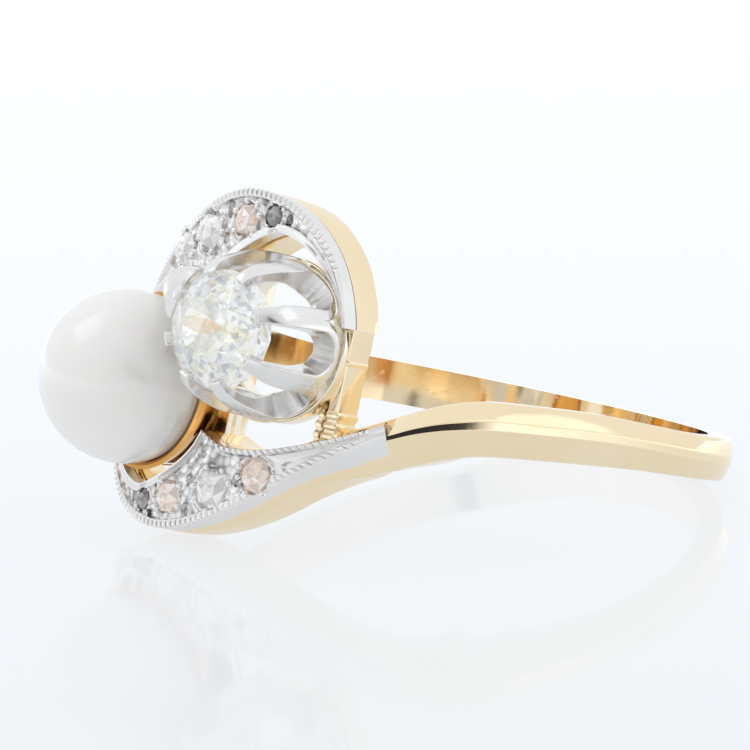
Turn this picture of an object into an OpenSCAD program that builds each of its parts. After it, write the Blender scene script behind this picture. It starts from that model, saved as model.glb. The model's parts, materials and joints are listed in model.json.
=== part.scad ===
// A toi et moi crossover ring: a yellow gold shank whose two arms sweep past each other round a pearl
// and an old cut diamond. The ring lies on its side, as it does on a table.
//
// Ring axes before it is laid down: the finger axis is Z and the head faces -Y. The head looks the same
// after half a turn about Y, apart from the two gems, so one shoulder is written and turned for the other.

/* [Finger] */
// Inside diameter of the band
finger_d = 17; // [14:0.5:22]

/* [Band] */
// Thickness of the band at the back
band_t = 1.05; // [0.8:0.05:1.6]
// Width of the band at the back
band_w = 1.6; // [1.2:0.1:2.2]
// Height of the arms' ridge over their edges where they meet the plates
arm_ridge = 0.8; // [0.4:0.05:1]
// Height of the arms' underside over the finger where they leave it
undercut = 0.8; // [0.5:0.1:1.2]

/* [Shoulders] */
// Height of the shoulders' top over the finger hole
shoulder_rise = 4.08; // [3.8:0.02:4.4]
// Distance that the shoulders' round top is shifted towards the tip
shoulder_lean = 0.6; // [0.3:0.05:0.8]
// Distance of the seam between plate and arm from the head's middle
seam_x = 7.3; // [7:0.1:7.8]
// Distance between the two shoulders' outermost edges, along the finger
head_span = 12.4; // [12:0.1:12.8]
// Depth of the gold under a plate, at the plate's broad part
body_depth = 2.05; // [1.7:0.05:2.3]
// Inset of the gold's rounded lower edge
foot_in = 0.1; // [0.06:0.01:0.14]
// Thickness of the tie between a shoulder's tip and the other arm
tie_t = 1.05; // [0.9:0.05:1.2]
// Lean of the tie's lower end towards the head's middle
tie_lean = 0.5; // [0.3:0.05:0.6]
// Height of the tie's ridge over its inner edge
tie_ridge = 0.15; // [0.1:0.01:0.2]
// Height of the tie's ridge over its outer edge
tie_fall = 0.1; // [0.05:0.01:0.15]
// Length of the tie's lower end inside the arm
tie_root = 0.3; // [0.2:0.05:0.4]

/* [Plates] */
// Thickness of a plate
plate_t = 0.5; // [0.4:0.05:0.6]
// Width of the raised rims along a plate's long edges
rim_w = 0.2; // [0.15:0.01:0.25]
// Height of the raised rims over the plate's floor
rim_h = 0.12; // [0.08:0.01:0.16]

/* [Gems] */
// Distance of each gem's axis from the head's middle, across the finger
gem_x = 2.85; // [2.85:0.01:2.9]
// Distance of each gem's axis from the head's middle, along the finger
gem_z = 1.24; // [1.24:0.01:1.3]
// Diameter of the pearl
pearl_d = 6.2; // [5.6:0.1:6.2]
// Height of the pearl's middle over the finger hole
pearl_lift = 5.15; // [5.1:0.05:5.5]
// Length of the diamond's girdle, along the finger
diamond_d = 4.2; // [4.1:0.02:4.4]
// Width of the diamond's girdle, across the finger
diamond_w = 4.7; // [4.4:0.02:4.76]
// Outward tilt of the diamond in its setting
gem_tilt = 8.4; // [4:0.2:10]
// Height of the diamond's girdle over the finger hole
girdle_lift = 6.1; // [5.9:0.05:6.3]
// Diameter of the largest rose cut stone of a plate
rose_d = 1.42; // [1.2:0.02:1.5]

/* [Settings] */
// Wall of the pearl's cup
cup_t = 0.24; // [0.18:0.02:0.24]
// Distance of the cup's rim below the pearl's middle
cup_drop = 1.15; // [1.15:0.05:1.5]
// Diameter of the peg that the pearl is drilled for
peg_d = 0.8; // [0.6:0.05:1]
// Height of the peg inside the pearl
peg_h = 1.6; // [1.2:0.1:2.4]
// Largest diameter of the claw setting
crown_d = 6; // [5.8:0.02:6]
// Wall of the claw setting
crown_t = 0.4; // [0.34:0.02:0.46]
// Number of claws
claws = 8; // [7:1:9]
// Width of a claw's tip
claw_w = 0.5; // [0.4:0.02:0.6]
// Thickness of the claws outside the girdle
claw_t = 0.5; // [0.46:0.02:0.52]
// Height of the claws' tips over the girdle
claw_h = 0.6; // [0.5:0.05:0.7]
// Width of the metal round a loop
loop_rim = 0.42; // [0.36:0.02:0.46]
// Height of the round part of the loops over the finger hole
loop_lift = 4.1; // [4.05:0.05:4.3]
// Height of the gold seats under the two gems
seat_h = 0.7; // [0.5:0.05:0.8]
// Wall of the gold seats
seat_t = 0.55; // [0.5:0.05:0.7]
// Inset of the gold seats inside the claw setting's largest radius
seat_inset = 0.1; // [0.06:0.02:0.16]
// Overlap of the pearl's seat with its cup, across the seat's top
cup_sink = 0.18; // [0.16:0.02:0.24]
// Width of the bar between the shoulders, which joins the seats
bar_w = 1.1; // [1:0.05:1.3]
// Height of the bar
bar_h = 0.9; // [0.8:0.05:1]
// Length of the bar's ends inside the shoulders
bar_root = 0.6; // [0.5:0.05:0.8]

/* [Clearances] */
// Solder line between two metals
solder = 0.04; // [0.02:0.01:0.06]
// Clearance of a stone in its seat
seat_gap = 0.04; // [0.02:0.01:0.06]

/* [Hidden] */
$fn = 64;

finger_r = finger_d / 2;
band_r = finger_r + band_t;
head_z = head_span / 2;
shoulder_r = finger_r + shoulder_rise;
// How far the unbored metal reaches into the finger hole before the bore is cut
bore_over = 0.3;
gold = "#d9a95c";
platinum = "#c9cad2";
EPS = 0.01;

// The lower shoulder, a row for each section from its tip to the seam. Columns 0 to 3 are the plate's
// inner and outer edge, x as a share of seam_x and z as a share of head_z. Columns 4 and 5 are how far
// the gold spreads past the inner and the outer edge, as shares of band_w. Column 6 is the depth of the
// gold, as a share of body_depth.
SHOULDER = [
    [-0.784, -0.346, -0.804, -0.346, 0.14, 0.00, 0.82],
    [-0.760, -0.436, -0.790, -0.425, 0.16, 0.00, 0.83],
    [-0.726, -0.513, -0.767, -0.508, 0.18, 0.00, 0.85],
    [-0.678, -0.588, -0.733, -0.605, 0.18, 0.00, 0.86],
    [-0.610, -0.664, -0.682, -0.708, 0.16, 0.00, 0.89],
    [-0.527, -0.729, -0.606, -0.811, 0.12, 0.00, 0.92],
    [-0.438, -0.771, -0.507, -0.900, 0.08, 0.00, 0.95],
    [-0.342, -0.787, -0.377, -0.969, 0.05, 0.00, 0.98],
    [-0.247, -0.749, -0.240, -0.998, 0.03, 0.00, 1.00],
    [-0.151, -0.684, -0.103, -1.000, 0.02, 0.02, 1.02],
    [-0.048, -0.600, 0.034, -0.968, 0.02, 0.08, 1.04],
    [0.030, -0.502, 0.164, -0.909, 0.02, 0.12, 1.07],
    [0.075, -0.397, 0.288, -0.832, 0.02, 0.15, 1.09],
    [0.199, -0.449, 0.411, -0.738, 0.03, 0.17, 1.11],
    [0.322, -0.452, 0.527, -0.630, 0.06, 0.18, 1.12],
    [0.452, -0.426, 0.641, -0.524, 0.10, 0.23, 1.12],
    [0.589, -0.374, 0.742, -0.427, 0.16, 0.35, 1.13],
    [0.726, -0.306, 0.836, -0.337, 0.21, 0.50, 1.18],
    [0.863, -0.226, 0.921, -0.252, 0.24, 0.66, 1.28],
    [0.986, -0.129, 1.000, -0.184, 0.24, 0.79, 1.42],
];
// The row of the pointed corner between the plate's crescent and its straight inner edge
CORNER = 12;
// Share of the gold's outer spread that the plate's own wall takes
PLATE_SPREAD = 0.58;
// Row from which the gold's spread turns towards straight along the finger
TURN_FROM = 14;
// Share of the outer spread that the gold's lower edge keeps at the seam
SEAM_FOOT = 0.6;
// Sections worked out for each row of the table
STEPS = 3;

// The arm from the seam to the middle of the back, a row for each section. Column 0 is the share of the
// way round, 1 the middle's z as a share of head_z, 2 the width as a share of band_w, 3 the rise as a
// share of the seam's, 4 the ridge as a share of arm_ridge, 5 the lift off the finger as a share and 6
// the place of the outer lower edge, as a share of the half width.
ARM = [
    [0.000, -0.222, 1.22, 1.000, 1.00, 1.00, 0.53],
    [0.030, -0.154, 1.27, 0.882, 0.94, 0.30, 0.66],
    [0.065, -0.100, 1.27, 0.731, 0.82, 0.00, 0.80],
    [0.114, -0.056, 1.23, 0.520, 0.70, 0.00, 0.90],
    [0.184, -0.028, 1.19, 0.280, 0.57, 0.00, 0.94],
    [0.281, -0.003, 1.15, 0.089, 0.44, 0.00, 0.94],
    [0.386, 0.006, 1.05, 0.015, 0.35, 0.00, 0.94],
    [0.511, 0.003, 1.00, 0.000, 0.28, 0.00, 0.94],
    [0.740, 0.000, 1.00, 0.000, 0.25, 0.00, 0.94],
    [1.000, 0.000, 1.00, 0.000, 0.25, 0.00, 0.94],
];
// Angle between the arm's sections
ARM_STEP = 5;
// Slant of the gold's depth at the seam, from none at the head's middle to the radius along the arm
SEAM_SLANT = 20;
// Share of the way round where the arm's sections are radial
RADIAL_FROM = 0.12;
// Place of the tie's ridge, as a share of its thickness from the outer face
TIE_CREST = 0.4;

// The diamond's outline: radius and height, as shares of the girdle's radius
DIAMOND = [[0.09, -0.9], [0.62, -0.4], [1, -0.03], [1, 0.03], [0.78, 0.24], [0.52, 0.38]];
DIAMOND_SIDES = 16;

// A rose cut stone over its flat back: radius as a share of the stone's and height as a share of its
// diameter. Each ring from the girdle's top is turned half a side.
ROSE_CUT = [[0.98, 0.04], [0.7, 0.2], [0.34, 0.27]];
ROSE_SIDES = 8;
// Radius of the flat back, as a share of the stone's
ROSE_BACK = 0.9;

// The lower plate's stones. Columns: x as a share of seam_x, z as a share of head_z, diameter as a
// share of rose_d.
ROSES = [
    [0.444, -0.577, 0.88],
    [0.204, -0.711, 1.00],
    [-0.082, -0.815, 0.84],
    [-0.274, -0.870, 0.52],
];

// A value on a smooth curve through rows lo to hi of a table, at a row number that may be a fraction
function blend(rows, lo, hi, u) =
    let(i = min(floor(u), hi - 1), f = u - i,
        a = rows[max(i - 1, lo)], b = rows[i], c = rows[i + 1], d = rows[min(i + 2, hi)])
    0.5 * (2 * b + (c - a) * f + (2 * a - 5 * b + 4 * c - d) * f ^ 2 + (3 * b - a - 3 * c + d) * f ^ 3);
function mix(a, b, u) = a + (b - a) * u;
function clamp01(u) = min(max(u, 0), 1);
function ease(u) = let(v = clamp01(u)) v * v * (3 - 2 * v);
function unit(v) = v / norm(v);
function half_turn(p) = [-p[0], p[1], -p[2]];

// Distance of the shoulders' round top from the finger axis plane, at x across the finger
function top_at(x) = sqrt(shoulder_r ^ 2 - (x + shoulder_lean) ^ 2);
// Angle of x round the finger, on the shoulders' top
function angle_at(x) = atan2(x, top_at(x));
// A point of the lower shoulder: place across and along the finger, depth under the top and its slant
function shoulder_point(place, depth, slant) =
    [place[0] - depth * sin(slant), -(top_at(place[0]) - depth * cos(slant)), place[1]];

LAST = len(SHOULDER) - 1;
// Inner and outer edge of the plate at a row number u, as places across and along the finger
function inner_edge(u) =
    let(row = u <= CORNER ? blend(SHOULDER, 0, CORNER, u) : blend(SHOULDER, CORNER, LAST, u))
    [row[0] * seam_x, row[1] * head_z];
function outer_edge(u) = let(row = blend(SHOULDER, 0, LAST, u)) [row[2] * seam_x, row[3] * head_z];
function slant_at(u) = SEAM_SLANT * ease((u - LAST + 4) / 4);

// Direction in which the gold spreads past the plate's edges at a row number u
function spread_way(u) =
    unit(mix(unit(outer_edge(u) - inner_edge(u)), [0, -1], ease((u - TURN_FROM) / (LAST - TURN_FROM))));

// Section of the gold under the plate, ten points from the inner foot over the top to the outer foot
function gold_section(u) =
    let(row = blend(SHOULDER, 0, LAST, u), slant = slant_at(u), way = spread_way(u),
        inner = inner_edge(u), outer = outer_edge(u),
        spread_in = row[4] * band_w, spread_out = row[5] * band_w,
        deep = row[6] * body_depth, seat = plate_t + solder,
        lip = min(seat + arm_ridge / 2, mix(seat, deep, 0.5)),
        keep = mix(1, SEAM_FOOT, ease((u - TURN_FROM) / (LAST - TURN_FROM))),
        far_in = inner - way * spread_in, far_out = outer + way * spread_out,
        near_out = outer + way * spread_out * PLATE_SPREAD,
        foot_out = outer + way * (spread_out * keep - foot_in),
        places = [far_in, far_in, mix(inner, far_in, 0.8), inner, mix(inner, near_out, 0.5),
                  near_out, far_out, mix(far_out, foot_out, 0.4), foot_out, mix(far_in, foot_out, 0.5)],
        depths = [deep, mix(seat, deep, 0.5), seat + 0.1 * (deep - seat), seat, seat,
                  seat, lip, mix(lip, deep, 0.7), deep, deep])
    [for (k = [0 : 9]) shoulder_point(places[k], depths[k], slant)];

SEAM_ANGLE = angle_at(seam_x);
SEAM_R = norm([seam_x, top_at(seam_x)]);
// Section of the arm at a row number u, ten points in the same order
function arm_section(u) =
    let(row = blend(ARM, 0, len(ARM) - 1, u),
        turn = mix(SEAM_ANGLE + asin(solder / SEAM_R), 180, row[0]),
        slant = mix(SEAM_SLANT, turn, ease(row[0] / RADIAL_FROM)),
        middle = row[1] * head_z, half = row[2] * band_w / 2,
        r = mix(band_r, SEAM_R, row[3]), ridge = row[4] * arm_ridge,
        r_under = finger_r - bore_over + row[5] * (undercut + bore_over),
        deep = (r - r_under) / cos(turn - slant),
        spans = [0.94, 0.99, 1, 0.55, 0, -0.55, -1, mix(-1, -row[6], 0.4), -row[6], 0],
        depths = [deep, mix(ridge, deep, 0.5), ridge, 0.45 * ridge, 0,
                  0.45 * ridge, ridge, mix(ridge, deep, 0.7), deep, deep])
    [for (k = [0 : 9]) [r * sin(turn) - depths[k] * sin(slant),
                        -(r * cos(turn) - depths[k] * cos(slant)),
                        middle + spans[k] * half]];

ARM_TURNS = ceil((180 - SEAM_ANGLE) / ARM_STEP);
// Row number of the arm's table where the way round has the share s
function arm_row(s, i = 0) =
    i >= len(ARM) - 2 || ARM[i + 1][0] >= s ? i + (s - ARM[i][0]) / (ARM[i + 1][0] - ARM[i][0]) : arm_row(s, i + 1);
near_half = concat([for (k = [0 : LAST * STEPS]) gold_section(k / STEPS)],
                   [for (k = [0 : ARM_TURNS]) arm_section(arm_row(k / ARM_TURNS))]);
// The other half is the same sections turned, in reverse, each with its inner and outer side exchanged
far_half = [for (j = [len(near_half) - 2 : -1 : 0])
               [for (k = [0 : 9]) half_turn(near_half[j][k < 9 ? 8 - k : 9])]];

// A solid skinned over a list of sections that all have the same number of points
module skin(sections) {
    n = len(sections[0]);
    m = len(sections);
    polyhedron(
        points = [for (s = sections) each s],
        faces = concat(
            [[for (k = [0 : n - 1]) k]],
            [[for (k = [n - 1 : -1 : 0]) (m - 1) * n + k]],
            [for (j = [0 : m - 2], k = [0 : n - 1])
                let(a = j * n + k, b = j * n + (k + 1) % n)
                each [[a, a + n, b], [b, a + n, b + n]]]));
}

// Lays the ring on its side: it rests on the lower edge of the back and on the lower shoulder
edge_r = band_r - ARM[len(ARM) - 1][4] * arm_ridge;
half_w = band_w / 2;
low_points = [for (s = near_half, p = s) [-p[1], p[2]]];
lie_tilt = max([for (p = low_points) p[0] > 0 ? atan2(-half_w - p[1], p[0] + edge_r) : 0]);
floor_drop = edge_r * sin(lie_tilt) + half_w * cos(lie_tilt);
pearl_up = finger_r + pearl_lift;
back_y = max(band_r * cos(lie_tilt), edge_r * cos(lie_tilt) + half_w * sin(lie_tilt));
front_y = -pearl_up * cos(lie_tilt) - gem_z * sin(lie_tilt) - pearl_d / 2;
module laid() translate([0, -(back_y + front_y) / 2, floor_drop]) rotate([-lie_tilt, 0, 0]) children();

// Turns a shape that stands on Z to stand on the head, over a place across and along the finger
module on_head(x, z) translate([x, 0, z]) rotate([90, 0, 0]) children();

// Gold seat under a gem: an open ring
crown_r = crown_d / 2;
loop_w = 2 * crown_r * sin(180 / claws) - 2 * loop_rim;
loop_up = finger_r + loop_lift;
loop_foot = loop_up - loop_w / 2 - loop_rim;
// Tilts the diamond's setting outwards about the middle of its loops
module tilted() translate([0, 0, loop_up]) rotate([0, gem_tilt, 0]) translate([0, 0, -loop_up]) children();
seat_top = loop_foot - solder;
seat_r = crown_r - seat_inset;
module seat(inner_r) translate([0, 0, seat_top - seat_h]) difference() {
    cylinder(r = seat_r, h = seat_h);
    translate([0, 0, -EPS]) cylinder(r = inner_r, h = seat_h + 2 * EPS);
}

// The pearl's cup: a thin bowl round the pearl's lower part, with the peg that the pearl stands on
cup_r = pearl_d / 2 + seat_gap;
cup_rim = pearl_up - cup_drop;
// Radius of the cup's outside at the top of its seat
cup_at_seat = sqrt((cup_r + cup_t) ^ 2 - (pearl_up - seat_top) ^ 2);
module cup() {
    difference() {
        translate([0, 0, pearl_up]) sphere(r = cup_r + cup_t);
        translate([0, 0, pearl_up]) sphere(r = cup_r);
        translate([0, 0, cup_rim]) cylinder(r = 2 * cup_r, h = 2 * pearl_d);
    }
    translate([0, 0, pearl_up - cup_r - cup_t / 2]) cylinder(d = peg_d, h = cup_t / 2 + peg_h);
}

// Section of the tie at a height z along the finger, with its outer face shifted: a ridge faces outward
function tie_section(x, up, z) =
    [[x - tie_t, -up + tie_ridge, z], [x - TIE_CREST * tie_t, -up, z], [x, -up + tie_fall, z],
     [x, -up + tie_deep, z], [x - tie_t, -up + tie_deep, z]];

// The tie from the upper shoulder's tip down to the near arm
tie_x = -SHOULDER[0][2] * seam_x - 4 * solder;
tie_up = top_at(-tie_x) - plate_t - 2 * solder;
tie_low = top_at(tie_x - tie_lean) - plate_t - 3 * solder;
tie_deep = SHOULDER[0][6] * body_depth - plate_t - 4 * solder;
tie_top = mix(-SHOULDER[0][1], -SHOULDER[1][1], 0.6) * head_z;
tie_foot = inner_edge(LAST - 3)[1] - tie_root;
module tie() skin([tie_section(tie_x - tie_lean, tie_low, tie_foot), tie_section(tie_x, tie_up, tie_top)]);

// The bar between the pointed corners of the two shoulders, which carries both seats
bar_reach = -inner_edge(CORNER)[1] + bar_root;
module bar() translate([-bar_w / 2, -seat_top, -bar_reach]) cube([bar_w, bar_h, 2 * bar_reach]);

module shank() {
    color(gold) laid() difference() {
        union() {
            skin(concat(near_half, far_half));
            for (turn = [0, 180]) rotate([0, turn, 0]) tie();
            bar();
            on_head(gem_x, gem_z) tilted() seat(seat_r - seat_t);
            on_head(-gem_x, -gem_z) {
                seat(cup_at_seat - cup_sink);
                cup();
            }
        }
        cylinder(r = finger_r, h = 2 * head_span, center = true);
    }
}

// Section of the plate at a row number u: its wall, its two raised rims and the floor between them
function plate_section(u) =
    let(row = blend(SHOULDER, 0, LAST, u), slant = slant_at(u),
        inner = inner_edge(u), outer = outer_edge(u), wide = norm(outer - inner),
        across = (outer - inner) / wide,
        rim = min(rim_w, 0.3 * wide), fall = rim_h * ease((wide - 2 * rim_w) / (2 * rim_w)) + EPS,
        foot = outer + spread_way(u) * row[5] * band_w * PLATE_SPREAD,
        places = [inner, inner, inner + across * rim, inner + across * rim * 1.2,
                  outer - across * rim * 1.2, outer - across * rim, outer, foot, mix(inner, foot, 0.5)],
        depths = [plate_t, 0, 0, fall, fall, 0, 0, plate_t, plate_t])
    [for (k = [0 : 8]) shoulder_point(places[k], depths[k], slant)];

// Places a shape that stands on Z over a stone of the lower plate
module on_rose(rose) {
    x = rose[0] * seam_x;
    translate([x, -(top_at(x) - rim_h), rose[1] * head_z]) rotate([0, 0, angle_at(x)]) rotate([90, 0, 0]) children();
}

rose_sink = plate_t - rim_h - 2 * solder;
module plate() color(platinum) difference() {
    skin([for (k = [0 : LAST * STEPS]) plate_section(min(k / STEPS, LAST - 2 * solder))]);
    for (rose = ROSES) on_rose(rose) translate([0, 0, -rose_sink - seat_gap])
        cylinder(d = rose[2] * rose_d + 2 * seat_gap, h = rose_sink + 2 * plate_t);
}
module plate_lower() laid() plate();
module plate_upper() laid() rotate([0, 180, 0]) plate();

// A ring of points for a cut stone: radius, height, number of corners and the angle of the first
function corners(r, z, n, first) = [for (k = [0 : n - 1]) let(a = first + k * 360 / n) [r * cos(a), r * sin(a), z]];

// A rose cut stone: a small table, a ring of crown facets, the girdle and a flat back
module rose_stone(d) {
    r = d / 2;
    skin(concat([corners(ROSE_BACK * r, -rose_sink, ROSE_SIDES, 0), corners(r, 0, ROSE_SIDES, 0)],
                [for (k = [0 : len(ROSE_CUT) - 1])
                    corners(ROSE_CUT[k][0] * r, ROSE_CUT[k][1] * d, ROSE_SIDES, k * 180 / ROSE_SIDES)]));
}
module rose_lower(i) color("#efe6da") laid() on_rose(ROSES[i - 1]) rose_stone(ROSES[i - 1][2] * rose_d);
module rose_upper(i) color("#efe6da") laid() rotate([0, 180, 0]) on_rose(ROSES[i - 1])
    rose_stone(ROSES[i - 1][2] * rose_d);

// The pearl, drilled for its peg
module pearl() color("#f3ece0") laid() on_head(-gem_x, -gem_z) difference() {
    translate([0, 0, pearl_up]) sphere(d = pearl_d);
    translate([0, 0, pearl_up - pearl_d]) cylinder(d = peg_d + 2 * seat_gap, h = pearl_d / 2 + peg_h + 2 * seat_gap);
}

// The diamond: an old cut with a small table, a high crown and a flat culet
girdle_up = finger_r + girdle_lift;
girdle_r = diamond_d / 2;
// The stone's outline, grown by a clearance: an oval of flat facets
module stone(room) translate([0, 0, girdle_up]) scale([diamond_w / diamond_d, 1, 1])
    skin([for (ring = DIAMOND)
             corners(ring[0] * girdle_r + room, ring[1] * girdle_r + sign(ring[1]) * room, DIAMOND_SIDES,
                     ring[0] < 1 && ring[1] > 0 ? 180 / DIAMOND_SIDES : 0)]);
module diamond() color("#f6f6ee") laid() on_head(gem_x, gem_z) tilted() stone(0);

// The claw setting: a bulging wall of round loops that end in claws over the diamond's girdle
claw_top = girdle_up + claw_h;
claw_r = girdle_r + claw_t;
// Outline of the wall, outside and inside, as radius and height
crown_outside = [
    [crown_r - 0.4 * crown_t, loop_foot - EPS],
    [crown_r - 0.08 * crown_t, mix(loop_foot, loop_up, 0.5)],
    [crown_r, mix(loop_foot, loop_up, 0.9)],
    [crown_r - 0.05 * crown_t, mix(loop_up, girdle_up, 0.25)],
    [crown_r - 0.25 * crown_t, mix(loop_up, girdle_up, 0.6)],
    [claw_r + 0.2 * crown_t, girdle_up - 0.5 * crown_t],
    [claw_r, mix(girdle_up, claw_top, 0.5)],
    [claw_r - 0.35 * crown_t, claw_top],
];
crown_inside = [
    [girdle_r - 0.75 * crown_t, claw_top],
    [girdle_r - 0.62 * crown_t, girdle_up - 0.9 * crown_t],
    [crown_r - 1.25 * crown_t, mix(loop_up, girdle_up, 0.4)],
    [crown_r - crown_t, loop_up],
    [crown_r - 1.35 * crown_t, loop_foot - EPS],
];
module crown_shell() rotate_extrude() polygon(concat(crown_outside, crown_inside));

// Width of the gap between two claws at their tips
gap_top_w = 2 * claw_r * sin(180 / claws) - claw_w;

// The gap between two claws: round below, with two straight sides that are open above
module loop_gap() rotate([90, 0, 90]) translate([0, 0, girdle_r - claw_t]) linear_extrude(2 * crown_r)
    polygon(concat([for (a = [0 : 360 / $fn : 180]) [loop_w / 2 * cos(a), loop_up - loop_w / 2 * sin(a)]],
                   [[-gap_top_w / 2, claw_top + EPS], [gap_top_w / 2, claw_top + EPS]]));

// The notch under a claw, where two loops part
notch_w = 2 * loop_rim + 0.5 * loop_w;
module foot_notch() rotate([0, 0, 180 / claws]) translate([0, 0, loop_foot + notch_w / 2])
    rotate([0, 90, 0]) rotate([0, 0, -45]) cube(2 * crown_r);
module claw_setting() color(platinum) laid() on_head(gem_x, gem_z) tilted() difference() {
    crown_shell();
    for (k = [0 : claws - 1]) rotate([0, 0, k * 360 / claws]) {
        loop_gap();
        foot_notch();
    }
    stone(seat_gap);
}

shank();
plate_lower();
plate_upper();
claw_setting();
pearl();
diamond();
rose_lower(1);  // rose_lower_1
rose_lower(2);  // rose_lower_2
rose_lower(3);  // rose_lower_3
rose_lower(4);  // rose_lower_4
rose_upper(1);  // rose_upper_1
rose_upper(2);  // rose_upper_2
rose_upper(3);  // rose_upper_3
rose_upper(4);  // rose_upper_4
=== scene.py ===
"""The looks of a toi et moi ring: yellow gold, platinum, a pearl and old cut diamonds.

The ring's own axes are used for every shape: the finger axis is Z, the head faces -Y, sizes are in
millimetres. Placement.world turns them into metres in the row's frame, where the ring lies on its side.
"""

import json
import logging
import math
from dataclasses import dataclass, field
from enum import Enum

import bpy
import numpy as np
from mathutils import Matrix


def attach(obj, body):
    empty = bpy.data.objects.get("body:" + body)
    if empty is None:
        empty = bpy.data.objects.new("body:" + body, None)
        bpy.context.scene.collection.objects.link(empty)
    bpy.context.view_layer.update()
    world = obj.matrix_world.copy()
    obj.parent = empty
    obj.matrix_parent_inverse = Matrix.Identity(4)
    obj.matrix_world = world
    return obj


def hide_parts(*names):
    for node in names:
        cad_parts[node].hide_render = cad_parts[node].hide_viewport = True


LOG = logging.getLogger("ring")
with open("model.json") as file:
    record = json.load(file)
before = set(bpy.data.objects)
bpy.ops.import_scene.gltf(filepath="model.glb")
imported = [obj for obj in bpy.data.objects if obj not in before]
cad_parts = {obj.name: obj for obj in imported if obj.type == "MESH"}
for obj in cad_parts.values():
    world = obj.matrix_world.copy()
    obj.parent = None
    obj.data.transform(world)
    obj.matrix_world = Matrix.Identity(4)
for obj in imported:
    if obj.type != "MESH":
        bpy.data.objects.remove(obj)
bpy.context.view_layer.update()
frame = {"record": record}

Array = np.ndarray
Material = bpy.types.Material
Node = bpy.types.Node
NodeTree = bpy.types.NodeTree
Socket = bpy.types.NodeSocket
Colour = tuple[float, float, float]

# Step between the facets' numbers that spreads them over 0 to 1.
GOLDEN_STEP = 0.618

# Rings of points on a bead, and points of each ring.
BEAD_RINGS, BEAD_SIDES = 5, 10


@dataclass(frozen=True)
class Placement:
    """Where the ring lies: a turn about X and a shift, both read from the finger hole's mount."""

    tilt: float
    shift: tuple[float, float, float]

    @classmethod
    def from_record(cls, record: dict) -> "Placement":
        """Reads the finger hole's middle and axis.

        Args:
            record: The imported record.

        Returns:
            The placement of the ring's own axes in the row's frame.
        """
        bore = next(m for m in record["mounts"] if m["name"] == "finger_bore")
        axis = bore["axis"]
        return cls(math.atan2(axis[1], axis[2]), tuple(1000.0 * v for v in bore["pos_m"]))

    def world(self, points: Array) -> Array:
        """Turns ring points in millimetres into row points in metres.

        Args:
            points: Ring points in millimetres, shape (..., 3).

        Returns:
            The same points in metres.
        """
        c, s = math.cos(self.tilt), math.sin(self.tilt)
        turn = np.array([[1.0, 0.0, 0.0], [0.0, c, -s], [0.0, s, c]])
        return (points @ turn + np.array(self.shift)) * 0.001


PLACE = Placement.from_record(frame["record"])


def half_turn(points: Array) -> Array:
    """The same points half a turn about the head's outward axis."""
    return points * np.array([-1.0, 1.0, -1.0])


def on_head(points: Array, x: float, z: float) -> Array:
    """Stands points that stand on Z on the head, over a place across and along the finger."""
    return np.stack([points[..., 0] + x, -points[..., 2], points[..., 1] + z], axis=-1)


def tilted(points: Array) -> Array:
    """Tilts points of the diamond's setting outwards, about the middle height of its loops.

    Args:
        points: Points that stand on Z about the setting's axis.

    Returns:
        The points, tilted.
    """
    c, s = math.cos(S.gem_tilt), math.sin(S.gem_tilt)
    x, up = points[..., 0], points[..., 2] - S.loop_up
    return np.stack([c * x + s * up, points[..., 1], c * up - s * x + S.loop_up], axis=-1)


def at_diamond(points: Array) -> Array:
    """Stands points of the diamond's setting on the head, tilted outwards."""
    return on_head(tilted(points), S.gem_x, S.gem_z)


def at_pearl(points: Array) -> Array:
    """Stands points of the pearl's setting on the head."""
    return on_head(points, -S.gem_x, -S.gem_z)


def polar(radius: Array | float, turn: Array | float, height: Array | float | None = None) -> Array:
    """Points at a radius and a turn, with a height where one is given."""
    flat = [radius * np.cos(turn), radius * np.sin(turn)]
    return np.stack(np.broadcast_arrays(*flat, *([] if height is None else [height])), axis=-1)


def ease(value: Array) -> Array:
    """A smooth step from 0 to 1: 3v^2 - 2v^3 of the clamped value."""
    v = np.clip(value, 0.0, 1.0)
    return v * v * (3.0 - 2.0 * v)


def dome(value: Array) -> Array:
    """The height of a half circle over -1 to 1: sqrt(1 - v^2), and 0 outside."""
    return np.sqrt(np.clip(1.0 - value**2, 0.0, 1.0))


def mix(a: Array, b: Array, share: Array) -> Array:
    """The value a share of the way from a to b."""
    return a + (b - a) * share


def unit(vectors: Array) -> Array:
    """Vectors of length one."""
    return vectors / np.maximum(np.linalg.norm(vectors, axis=-1, keepdims=True), 1e-9)


def spline(rows: Array, low: int, high: int, at: Array) -> Array:
    """A smooth curve through rows low to high of a table (Catmull-Rom), at row numbers.

    Args:
        rows: The table, a row for each knot.
        low: First row of the curve.
        high: Last row of the curve.
        at: Row numbers, which may be fractions.

    Returns:
        An array with a row for each of at.
    """
    i = np.clip(np.floor(at).astype(int), low, high - 1)
    f = (at - i)[:, None]
    a, b = rows[np.maximum(i - 1, low)], rows[i]
    c, d = rows[i + 1], rows[np.minimum(i + 2, high)]
    return 0.5 * (2 * b + (c - a) * f + (2 * a - 5 * b + 4 * c - d) * f**2 + (3 * b - a - 3 * c + d) * f**3)


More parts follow.
